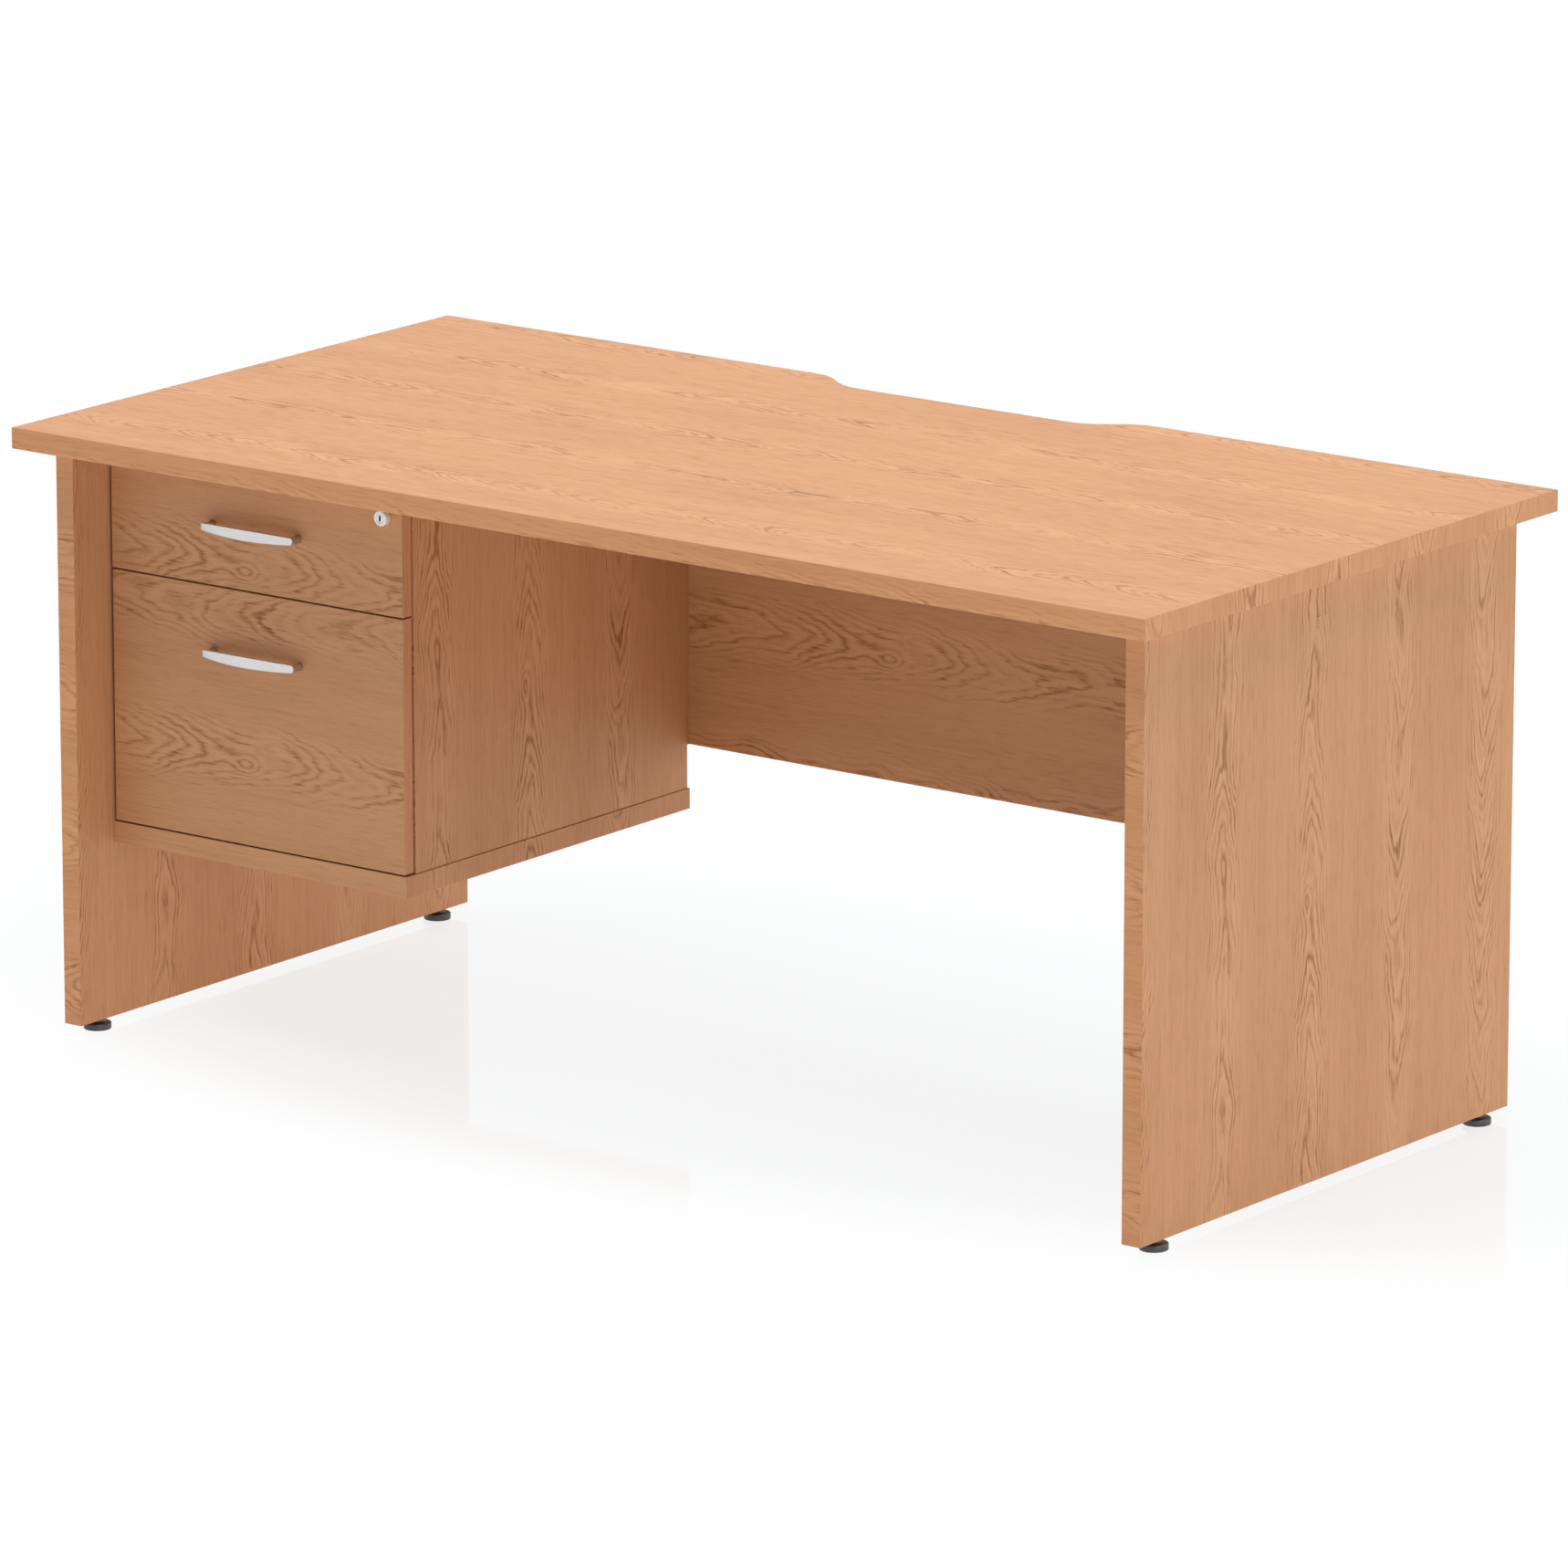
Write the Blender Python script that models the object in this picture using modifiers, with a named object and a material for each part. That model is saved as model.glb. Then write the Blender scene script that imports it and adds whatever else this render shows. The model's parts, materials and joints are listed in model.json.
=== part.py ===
import bpy
import bmesh
from math import cos, pi, radians, sin, sqrt
from mathutils import Matrix, Vector

# All sizes are in metres. +X runs along the front edge, +Y to the rear, +Z up.
# The origin is on the floor under the middle of the worktop.

# Worktop
DESK_WIDTH = 1.600
DESK_DEPTH = 0.800
DESK_HEIGHT = 0.728
TOP_THICKNESS = 0.025
SCALLOP_FLAT_WIDTH = 0.296
SCALLOP_CURVE_WIDTH = 0.100
SCALLOP_DEPTH = 0.040
SCALLOP_CURVE_STEPS = 8

# End panels and modesty panel
PANEL_THICKNESS = 0.025
PANEL_SIDE_INSET = 0.030
PANEL_FRONT_INSET = 0.0425
PANEL_REAR_INSET = 0.0375
MODESTY_THICKNESS = 0.018
MODESTY_HEIGHT = 0.402
MODESTY_REAR_INSET = 0.108

# Levelling feet and their threaded inserts
FOOT_END_INSET = 0.0435
FOOT_PAD_RADIUS = 0.0164
FOOT_PAD_HEIGHT = 0.0078
FOOT_PAD_CHAMFER = 0.0008
FOOT_NECK_RADIUS = 0.007
FOOT_NECK_HEIGHT = 0.0034
FOOT_STUD_RADIUS = 0.004
FOOT_STUD_LENGTH = 0.020
INSERT_WALL = 0.0015
INSERT_FLANGE_WIDTH = 0.003
INSERT_FLANGE_THICKNESS = 0.0012
INSERT_DEPTH = 0.023

# Pedestal carcass
PEDESTAL_WIDTH = 0.439
PEDESTAL_HEIGHT = 0.480
PEDESTAL_FRONT_INSET = 0.106
BASE_THICKNESS = 0.025
BASE_LEFT_LIP = 0.002
BASE_RIGHT_LIP = 0.001
BASE_REAR_LIP = 0.0035
SIDE_THICKNESS = 0.018
CARCASS_TOP_THICKNESS = 0.016
CARCASS_BACK_THICKNESS = 0.006
CARCASS_BACK_REBATE = 0.008

# Drawer fronts
FRONT_THICKNESS = 0.016
FRONT_CARCASS_GAP = 0.0025
FRONT_SIDE_REVEAL = 0.0015
FRONT_TOP_REVEAL = 0.003
FRONT_SPLIT_GAP = 0.002
FRONT_BOTTOM_REVEAL = 0.002
UPPER_FRONT_HEIGHT = 0.148

# Drawer boxes
BOX_SIDE_THICKNESS = 0.012
BOX_LIFT = 0.014
BOX_REAR_CLEARANCE = 0.045
UPPER_BOX_HEADROOM = 0.046
LOWER_BOX_HEADROOM = 0.036
BOTTOM_THICKNESS = 0.004
BOTTOM_LIFT = 0.010
BOTTOM_GROOVE_DEPTH = 0.005
FILE_RAIL_SHEET = 0.0012
FILE_RAIL_DROP = 0.009

# Runners
RUNNER_SPACE = 0.0127
RUNNER_HEIGHT = 0.045
RUNNER_SHEET = 0.0012
RUNNER_RACE = 0.003
RUNNER_LIP = 0.001
RUNNER_PLAY = 0.0007
RUNNER_LIFT = 0.004
RUNNER_FRONT_SETBACK = 0.003
RUNNER_REAR_SETBACK = 0.007
CAGE_LENGTH = 0.200
CAGE_SHEET = 0.0006
CAGE_TIP_SETBACK = 0.0005

# Bow handles
HANDLE_CENTRES = 0.128
HANDLE_LENGTH = 0.136
HANDLE_DROP = 0.0765
HANDLE_PROJECTION = 0.025
HANDLE_BOW = 0.0077
HANDLE_BAR_THICKNESS = 0.005
HANDLE_MID_HEIGHT = 0.0132
HANDLE_END_HEIGHT = 0.0088
HANDLE_CORNER_RADIUS = 0.003
HANDLE_EDGE_RADIUS = 0.001
HANDLE_POST_RADIUS = 0.004
HANDLE_FOOT_RADIUS = 0.005
HANDLE_STEPS = 24
HANDLE_ROWS = 2
HANDLE_EDGE_STEPS = 2
HANDLE_EDGE_ANGLE = radians(50)
POST_STEPS = 16

# Lock on the upper drawer and the lock bar in the pedestal's right side
LOCK_DROP = 0.0337
LOCK_SIDE_OFFSET = 0.009
LOCK_BARREL_RADIUS = 0.0091
LOCK_BARREL_PROJECTION = 0.0087
LOCK_BARREL_CHAMFER = 0.0012
LOCK_SHANK_RADIUS = 0.007
LOCK_PLUG_RADIUS = 0.0052
LOCK_NUT_RADIUS = 0.0085
LOCK_NUT_THICKNESS = 0.003
LOCK_NUT_SIDES = 6
LOCK_TAIL_SIZE = 0.004
KEYWAY_WIDTH = 0.0018
KEYWAY_HEIGHT = 0.0085
KEYWAY_DEPTH = 0.010
CRANK_RADIUS = 0.0055
CRANK_REST_ANGLE = radians(-45)
CRANK_TURN = radians(90)
CRANK_THICKNESS = 0.002
CRANK_PIN_RADIUS = 0.0015
CRANK_RIM = 0.001
CRANK_ARC_STEPS = 8
CRANK_PIN_PLAY = 0.0005
BAR_GROOVE_SETBACK = 0.0045
BAR_GROOVE_WIDTH = 0.012
BAR_GROOVE_DEPTH = 0.004
BAR_TOOTH_THICKNESS = 0.003
BAR_LUG_HEIGHT = 0.007
BAR_LUG_CLEARANCE = 0.001
STRIKER_RADIUS = 0.003
STRIKER_FLANGE_RADIUS = 0.005
STRIKER_FLANGE_THICKNESS = 0.0015
STRIKER_PLAY = 0.0008
GUIDE_HEIGHT = 0.016
GUIDE_MARGIN = 0.005
GUIDE_SHEET = 0.0012

# Fits: SEAT_GAP is kept where one piece rests on another
SEAT_GAP = 0.0003
TURNED_STEPS = 20
CUTTER_OVERRUN = 0.002
MERGE_DISTANCE = 0.00001
FLAT_ANGLE = radians(0.1)
SHARP_ANGLE = radians(40)

# Places that several pieces share
TOP_UNDERSIDE = DESK_HEIGHT - TOP_THICKNESS
PANEL_OUTER = DESK_WIDTH / 2 - PANEL_SIDE_INSET
PANEL_INNER = PANEL_OUTER - PANEL_THICKNESS
PANEL_FRONT = -DESK_DEPTH / 2 + PANEL_FRONT_INSET
PANEL_REAR = DESK_DEPTH / 2 - PANEL_REAR_INSET
PANEL_TOP = TOP_UNDERSIDE - SEAT_GAP
FOOT_SHOULDER = FOOT_PAD_HEIGHT + FOOT_NECK_HEIGHT
INSERT_SEAT = FOOT_SHOULDER + SEAT_GAP
PANEL_BOTTOM = INSERT_SEAT + INSERT_FLANGE_THICKNESS + SEAT_GAP
MODESTY_REAR = PANEL_REAR - MODESTY_REAR_INSET
MODESTY_FRONT = MODESTY_REAR - MODESTY_THICKNESS

BASE_LEFT = -PANEL_INNER + SEAT_GAP
BASE_RIGHT = BASE_LEFT + PEDESTAL_WIDTH
BASE_FRONT = -DESK_DEPTH / 2 + PEDESTAL_FRONT_INSET
BASE_REAR = MODESTY_FRONT - SEAT_GAP
BASE_BOTTOM = TOP_UNDERSIDE - PEDESTAL_HEIGHT
BASE_TOP = BASE_BOTTOM + BASE_THICKNESS

CARCASS_LEFT = BASE_LEFT + BASE_LEFT_LIP
CARCASS_RIGHT = BASE_RIGHT - BASE_RIGHT_LIP
CARCASS_FRONT = BASE_FRONT + FRONT_THICKNESS + FRONT_CARCASS_GAP
CARCASS_REAR = BASE_REAR - BASE_REAR_LIP
CARCASS_BOTTOM = BASE_TOP + SEAT_GAP
INNER_LEFT = CARCASS_LEFT + SIDE_THICKNESS
INNER_RIGHT = CARCASS_RIGHT - SIDE_THICKNESS
REBATE_FRONT = CARCASS_REAR - CARCASS_BACK_THICKNESS - SEAT_GAP

FRONT_LEFT = CARCASS_LEFT + FRONT_SIDE_REVEAL
FRONT_RIGHT = CARCASS_RIGHT - FRONT_SIDE_REVEAL
FRONT_BACK = BASE_FRONT + FRONT_THICKNESS
UPPER_FRONT_TOP = TOP_UNDERSIDE - FRONT_TOP_REVEAL
UPPER_FRONT_BOTTOM = UPPER_FRONT_TOP - UPPER_FRONT_HEIGHT
LOWER_FRONT_TOP = UPPER_FRONT_BOTTOM - FRONT_SPLIT_GAP
LOWER_FRONT_BOTTOM = BASE_TOP + FRONT_BOTTOM_REVEAL
DRAWER_MIDDLE = (FRONT_LEFT + FRONT_RIGHT) / 2

BOX_LEFT = INNER_LEFT + RUNNER_SPACE + SEAT_GAP
BOX_RIGHT = INNER_RIGHT - RUNNER_SPACE - SEAT_GAP
BOX_FRONT = FRONT_BACK + SEAT_GAP
BOX_REAR = REBATE_FRONT - BOX_REAR_CLEARANCE
RUNNER_FRONT = CARCASS_FRONT + RUNNER_FRONT_SETBACK
RUNNER_REAR = BOX_REAR - RUNNER_REAR_SETBACK

LOCK_X = INNER_RIGHT - LOCK_SIDE_OFFSET
LOCK_Z = UPPER_FRONT_TOP - LOCK_DROP
LOCK_FACE = BASE_FRONT - LOCK_BARREL_PROJECTION
LOCK_NUT_REAR = BOX_FRONT + LOCK_NUT_THICKNESS
BAR_FRONT = CARCASS_FRONT + BAR_GROOVE_SETBACK + SEAT_GAP
BAR_REAR = BAR_FRONT + BAR_GROOVE_WIDTH - 2 * SEAT_GAP
BAR_TIP = BOX_RIGHT + BAR_LUG_CLEARANCE
CRANK_FRONT = BAR_FRONT - BAR_LUG_CLEARANCE - CRANK_THICKNESS
CRANK_REAR = CRANK_FRONT + CRANK_THICKNESS

# How a flat outline lies: upright and thickened along Y, or level and thickened along Z
UPRIGHT = Matrix(((1, 0, 0, 0), (0, 0, -1, 0), (0, 1, 0, 0), (0, 0, 0, 1)))
LEVEL = Matrix.Identity(4)
AXIS_TO_FRONT = (pi / 2, 0, 0)
AXIS_TO_RIGHT = (0, pi / 2, 0)
AXIS_UP = (0, 0, 0)


def clear_scene():
    for obj in list(bpy.data.objects):
        bpy.data.objects.remove(obj, do_unlink=True)


def make_collection(name):
    collection = bpy.data.collections.new(name)
    bpy.context.scene.collection.children.link(collection)
    return collection


clear_scene()
PARTS = make_collection("panel_end_desk")
CUTTERS = make_collection("cutters")


def make_material(name, colour, roughness, metallic=0.0):
    material = bpy.data.materials.new(name)
    material.use_nodes = True
    shader = material.node_tree.nodes["Principled BSDF"]
    shader.inputs["Base Color"].default_value = (*colour, 1.0)
    shader.inputs["Roughness"].default_value = roughness
    shader.inputs["Metallic"].default_value = metallic
    return material


OAK = make_material("oak_laminate", (0.584, 0.305, 0.156), 0.45)
WRAPPED_BOARD = make_material("grey_wrapped_board", (0.62, 0.62, 0.60), 0.5)
HARDBOARD = make_material("white_hardboard", (0.70, 0.69, 0.66), 0.6)
ALUMINIUM = make_material("satin_aluminium", (0.78, 0.79, 0.80), 0.35, 1.0)
NICKEL = make_material("nickel_plate", (0.74, 0.73, 0.70), 0.25, 1.0)
ZINC = make_material("zinc_plated_steel", (0.60, 0.62, 0.64), 0.35, 1.0)
PLASTIC = make_material("dark_grey_plastic", (0.06, 0.058, 0.06), 0.45)


def world_place(obj):
    """Where an unturned empty stands in world space, through its parents."""
    place = Vector()
    while obj:
        place += obj.location
        obj = obj.parent
    return place


def make_joint_empty(name, place, parent=None):
    """The carrier of a moving group, standing on its joint's axis."""
    empty = bpy.data.objects.new(name, None)
    PARTS.objects.link(empty)
    empty.parent = parent
    empty.location = Vector(place) - world_place(parent)
    return empty


def link_piece(name, mesh, material, location, parent=None, rotation=AXIS_UP):
    """Put a mesh in the model as a named piece, at a place given in world space."""
    obj = bpy.data.objects.new(name, mesh)
    mesh.name = name
    mesh.materials.append(material)
    PARTS.objects.link(obj)
    obj.rotation_euler = rotation
    obj.parent = parent
    obj.location = Vector(location) - world_place(parent)
    return obj


def smooth_round_sides(mesh):
    mesh.shade_smooth()
    mesh.set_sharp_from_angle(angle=SHARP_ANGLE)


def box_mesh(low, high):
    """A box between two corners, about its own middle, and that middle."""
    size = Vector(high) - Vector(low)
    bm = bmesh.new()
    bmesh.ops.create_cube(bm, size=1.0, matrix=Matrix.Diagonal((*size, 1.0)))
    mesh = bpy.data.meshes.new("box")
    bm.to_mesh(mesh)
    bm.free()
    return mesh, (Vector(high) + Vector(low)) / 2


def board(name, low, high, material=OAK, parent=None):
    mesh, middle = box_mesh(low, high)
    return link_piece(name, mesh, material, middle, parent)


def rod_mesh(radius, length, steps=TURNED_STEPS, far_radius=None):
    """A cylinder or cone frustum along its own Z, about its middle."""
    bm = bmesh.new()
    bmesh.ops.create_cone(
        bm, cap_ends=True, segments=steps, depth=length, radius1=radius,
        radius2=radius if far_radius is None else far_radius)
    mesh = bpy.data.meshes.new("rod")
    bm.to_mesh(mesh)
    bm.free()
    smooth_round_sides(mesh)
    return mesh


def outline_mesh(points, lie, start, end, resolution=1):
    """A flat outline thickened from start to end, along Y if upright and along Z if level.

    A point is a pair, or a pair with the offset of its curve handle along the outline's X.
    """
    curve = bpy.data.curves.new("outline", "CURVE")
    curve.dimensions = "2D"
    curve.fill_mode = "BOTH"
    curve.resolution_u = resolution
    curve.extrude = (end - start) / 2
    spline = curve.splines.new("BEZIER")
    spline.bezier_points.add(len(points) - 1)
    spline.use_cyclic_u = True
    for knot, point in zip(spline.bezier_points, points):
        knot.co = (point[0], point[1], 0.0)
        knot.handle_left_type = knot.handle_right_type = "VECTOR"
    for knot, point in zip(spline.bezier_points, points):
        if len(point) > 2:
            knot.handle_left_type = knot.handle_right_type = "FREE"
            knot.handle_left = knot.co - Vector((point[2], 0.0, 0.0))
            knot.handle_right = knot.co + Vector((point[2], 0.0, 0.0))
    flat = bpy.data.objects.new("outline", curve)
    CUTTERS.objects.link(flat)
    depsgraph = bpy.context.evaluated_depsgraph_get()
    mesh = bpy.data.meshes.new_from_object(flat.evaluated_get(depsgraph))
    bpy.data.objects.remove(flat, do_unlink=True)
    bm = bmesh.new()
    bm.from_mesh(mesh)
    bmesh.ops.remove_doubles(bm, verts=bm.verts, dist=MERGE_DISTANCE)
    bmesh.ops.dissolve_limit(
        bm, angle_limit=FLAT_ANGLE, verts=bm.verts, edges=bm.edges)
    middle = (end + start) / 2
    shift = (0.0, middle, 0.0) if lie is UPRIGHT else (0.0, 0.0, middle)
    bm.transform(Matrix.Translation(shift) @ lie)
    bmesh.ops.recalc_face_normals(bm, faces=bm.faces)
    bm.to_mesh(mesh)
    bm.free()
    mesh.materials.clear()
    return mesh


def outlined(name, points, lie, start, end, material=OAK, parent=None, resolution=1):
    """A piece thickened from an outline, with its origin in its own middle."""
    mesh = outline_mesh(points, lie, start, end, resolution)
    corners = [vertex.co for vertex in mesh.vertices]
    low = Vector([min(corner[axis] for corner in corners) for axis in range(3)])
    high = Vector([max(corner[axis] for corner in corners) for axis in range(3)])
    middle = (low + high) / 2
    mesh.transform(Matrix.Translation(-middle))
    return link_piece(name, mesh, material, middle, parent)


def turned(name, profile, material, location, parent=None, rotation=AXIS_UP, ring=False):
    """A turned piece: radius and height pairs, down the outer side, about its own Z."""
    mesh = bpy.data.meshes.new(name)
    edges = [(index, index + 1) for index in range(len(profile) - 1)]
    if ring:
        edges.append((len(profile) - 1, 0))
    mesh.from_pydata([(radius, 0.0, height) for radius, height in profile], edges, [])
    obj = link_piece(name, mesh, material, location, parent, rotation)
    screw = obj.modifiers.new("turn", "SCREW")
    screw.steps = TURNED_STEPS
    screw.render_steps = TURNED_STEPS
    screw.use_merge_vertices = True
    screw.merge_threshold = MERGE_DISTANCE
    screw.use_smooth_shade = True
    return obj


def hidden_tool(mesh, location, rotation=AXIS_UP):
    tool = bpy.data.objects.new("tool", mesh)
    CUTTERS.objects.link(tool)
    tool.location = location
    tool.rotation_euler = rotation
    tool.hide_render = True
    tool.display_type = "WIRE"
    return tool


def combine(obj, tool, operation):
    boolean = obj.modifiers.new(operation.lower(), "BOOLEAN")
    boolean.operation = operation
    boolean.solver = "EXACT"
    boolean.object = tool


def cut_box(obj, low, high):
    mesh, middle = box_mesh(low, high)
    combine(obj, hidden_tool(mesh, middle), "DIFFERENCE")


def cut_hole(obj, radius, length, location, rotation):
    combine(obj, hidden_tool(rod_mesh(radius, length), location, rotation), "DIFFERENCE")


def make_desktop():
    """The worktop board, with two S curves leading into the cable scallop at the rear."""
    half_width = DESK_WIDTH / 2
    half_depth = DESK_DEPTH / 2
    half_flat = SCALLOP_FLAT_WIDTH / 2
    half_mouth = half_flat + SCALLOP_CURVE_WIDTH
    inner_edge = half_depth - SCALLOP_DEPTH
    handle = -SCALLOP_CURVE_WIDTH / 2
    points = [
        (-half_width, -half_depth),
        (half_width, -half_depth),
        (half_width, half_depth),
        (half_mouth, half_depth, handle),
        (half_flat, inner_edge, handle),
        (-half_flat, inner_edge, handle),
        (-half_mouth, half_depth, handle),
        (-half_width, half_depth),
    ]
    outlined("desktop", points, LEVEL, TOP_UNDERSIDE, DESK_HEIGHT,
             resolution=SCALLOP_CURVE_STEPS)


def foot_places(side):
    """Where the front and rear foot of one end panel stand, seen from above."""
    x = side * (PANEL_INNER + PANEL_THICKNESS / 2)
    return {
        "front": (x, PANEL_FRONT + FOOT_END_INSET),
        "rear": (x, PANEL_REAR - FOOT_END_INSET),
    }


def make_insert(name, x, y):
    """A flanged threaded sleeve pressed up into the panel's lower edge."""
    bore = FOOT_STUD_RADIUS + SEAT_GAP
    sleeve = bore + INSERT_WALL
    flange = sleeve + INSERT_FLANGE_WIDTH
    flange_top = INSERT_SEAT + INSERT_FLANGE_THICKNESS
    sleeve_top = flange_top + INSERT_DEPTH
    profile = [
        (bore, sleeve_top),
        (sleeve, sleeve_top),
        (sleeve, flange_top),
        (flange, flange_top),
        (flange, INSERT_SEAT),
        (bore, INSERT_SEAT),
    ]
    turned(name, profile, ZINC, (x, y, 0.0), ring=True)
    return sleeve + SEAT_GAP, sleeve_top + SEAT_GAP


def make_foot(name, x, y):
    """A round pad with a neck and a threaded stud, standing on the floor."""
    rim = FOOT_PAD_RADIUS - FOOT_PAD_CHAMFER
    profile = [
        (0.0, FOOT_SHOULDER + FOOT_STUD_LENGTH),
        (FOOT_STUD_RADIUS, FOOT_SHOULDER + FOOT_STUD_LENGTH),
        (FOOT_STUD_RADIUS, FOOT_SHOULDER),
        (FOOT_NECK_RADIUS, FOOT_SHOULDER),
        (FOOT_NECK_RADIUS, FOOT_PAD_HEIGHT),
        (rim, FOOT_PAD_HEIGHT),
        (FOOT_PAD_RADIUS, FOOT_PAD_HEIGHT - FOOT_PAD_CHAMFER),
        (FOOT_PAD_RADIUS, FOOT_PAD_CHAMFER),
        (rim, 0.0),
        (0.0, 0.0),
    ]
    turned(name, profile, PLASTIC, (x, y, 0.0))


def make_end_panel(side_name, side):
    """An end panel, bored from below for its inserts, with its two feet."""
    near, far = sorted((side * PANEL_INNER, side * PANEL_OUTER))
    panel = board(side_name + "_end_panel", (near, PANEL_FRONT, PANEL_BOTTOM),
                  (far, PANEL_REAR, PANEL_TOP))
    for end_name, (x, y) in foot_places(side).items():
        foot_name = end_name + "_" + side_name
        radius, hole_top = make_insert(foot_name + "_foot_insert", x, y)
        make_foot(foot_name + "_foot", x, y)
        hole_low = PANEL_BOTTOM - CUTTER_OVERRUN
        cut_hole(panel, radius, hole_top - hole_low, (x, y, (hole_top + hole_low) / 2), AXIS_UP)


def make_modesty_panel():
    board("modesty_panel",
          (-PANEL_INNER + SEAT_GAP, MODESTY_FRONT, TOP_UNDERSIDE - MODESTY_HEIGHT),
          (PANEL_INNER - SEAT_GAP, MODESTY_REAR, PANEL_TOP))


def make_pedestal_left_side():
    """The left side, rebated at the rear for the back panel."""
    rebate = INNER_LEFT - CARCASS_BACK_REBATE
    points = [
        (CARCASS_LEFT, CARCASS_FRONT),
        (INNER_LEFT, CARCASS_FRONT),
        (INNER_LEFT, REBATE_FRONT),
        (rebate, REBATE_FRONT),
        (rebate, CARCASS_REAR),
        (CARCASS_LEFT, CARCASS_REAR),
    ]
    outlined("pedestal_left_side", points, LEVEL, CARCASS_BOTTOM, PANEL_TOP)


def make_pedestal_right_side():
    """The right side, with the same rebate and an upright groove for the lock bar."""
    rebate = INNER_RIGHT + CARCASS_BACK_REBATE
    groove = INNER_RIGHT + BAR_GROOVE_DEPTH
    groove_front = BAR_FRONT - SEAT_GAP
    groove_rear = BAR_REAR + SEAT_GAP
    points = [
        (CARCASS_RIGHT, CARCASS_FRONT),
        (CARCASS_RIGHT, CARCASS_REAR),
        (rebate, CARCASS_REAR),
        (rebate, REBATE_FRONT),
        (INNER_RIGHT, REBATE_FRONT),
        (INNER_RIGHT, groove_rear),
        (groove, groove_rear),
        (groove, groove_front),
        (INNER_RIGHT, groove_front),
        (INNER_RIGHT, CARCASS_FRONT),
    ]
    outlined("pedestal_right_side", points, LEVEL, CARCASS_BOTTOM, PANEL_TOP)


def make_pedestal():
    board("pedestal_base", (BASE_LEFT, BASE_FRONT, BASE_BOTTOM), (BASE_RIGHT, BASE_REAR, BASE_TOP))
    make_pedestal_left_side()
    make_pedestal_right_side()
    back_reach = CARCASS_BACK_REBATE - SEAT_GAP
    back_front = REBATE_FRONT + SEAT_GAP
    board("pedestal_back", (INNER_LEFT - back_reach, back_front, CARCASS_BOTTOM),
          (INNER_RIGHT + back_reach, CARCASS_REAR, PANEL_TOP))
    board("pedestal_top",
          (INNER_LEFT + SEAT_GAP, CARCASS_FRONT, PANEL_TOP - CARCASS_TOP_THICKNESS),
          (INNER_RIGHT - SEAT_GAP, REBATE_FRONT, PANEL_TOP))


def handle_half_height(x):
    """Half the bow bar's height at a distance from its middle, with rounded corners."""
    half = HANDLE_LENGTH / 2
    swell = (HANDLE_MID_HEIGHT - HANDLE_END_HEIGHT) / 2 * (1 - (x / half) ** 2)
    height = HANDLE_END_HEIGHT / 2 + swell
    corner = max(abs(x) - (half - HANDLE_CORNER_RADIUS), 0.0)
    return height - HANDLE_CORNER_RADIUS + sqrt(max(HANDLE_CORNER_RADIUS ** 2 - corner ** 2, 0.0))


def handle_front(x):
    """How far the bow bar's face stands off the drawer front at a distance from its middle."""
    return HANDLE_PROJECTION - HANDLE_BOW * (2 * x / HANDLE_LENGTH) ** 2


def make_handle(name, z, parent):
    """A bow bar, tallest and furthest out in its middle, on two flared posts."""
    bm = bmesh.new()
    bmesh.ops.create_grid(bm, x_segments=HANDLE_STEPS, y_segments=HANDLE_ROWS, size=0.5)
    for vertex in bm.verts:
        x = HANDLE_LENGTH / 2 * sin(pi * vertex.co.x)
        height = 2 * vertex.co.y * handle_half_height(x)
        vertex.co = (x, -handle_front(x), height)
    mesh = bpy.data.meshes.new(name)
    bm.to_mesh(mesh)
    bm.free()
    bar = link_piece(name, mesh, ALUMINIUM, (DRAWER_MIDDLE, BASE_FRONT, z), parent)
    shell = bar.modifiers.new("thickness", "SOLIDIFY")
    shell.thickness = HANDLE_BAR_THICKNESS
    shell.offset = -1.0
    rounding = bar.modifiers.new("edges", "BEVEL")
    rounding.width = HANDLE_EDGE_RADIUS
    rounding.segments = HANDLE_EDGE_STEPS
    rounding.limit_method = "ANGLE"
    rounding.angle_limit = HANDLE_EDGE_ANGLE
    post_reach = handle_front(HANDLE_CENTRES / 2) - HANDLE_BAR_THICKNESS / 2
    post_length = post_reach - SEAT_GAP
    for side in (-1, 1):
        post = rod_mesh(HANDLE_FOOT_RADIUS, post_length, POST_STEPS, HANDLE_POST_RADIUS)
        place = (DRAWER_MIDDLE + side * HANDLE_CENTRES / 2,
                 BASE_FRONT - SEAT_GAP - post_length / 2, z)
        combine(bar, hidden_tool(post, place, AXIS_TO_FRONT), "UNION")
    smooth_round_sides(bar.data)


def channel_section(web, tip, middle, height, sheet, lip):
    """The section of a pressed channel, open towards its tips, where any lips turn inwards."""
    inward = sheet if tip > web else -sheet
    low = middle - height / 2
    high = middle + height / 2
    low_end = [(tip, low + sheet)]
    high_end = [(tip, high - sheet)]
    if lip:
        low_end = [
            (tip, low + sheet + lip),
            (tip - inward, low + sheet + lip),
            (tip - inward, low + sheet),
        ]
        high_end = [
            (tip - inward, high - sheet),
            (tip - inward, high - sheet - lip),
            (tip, high - sheet - lip),
        ]
    return [
        (web, low),
        (tip, low),
        *low_end,
        (web + inward, low + sheet),
        (web + inward, high - sheet),
        *high_end,
        (tip, high),
        (web, high),
    ]


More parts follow.
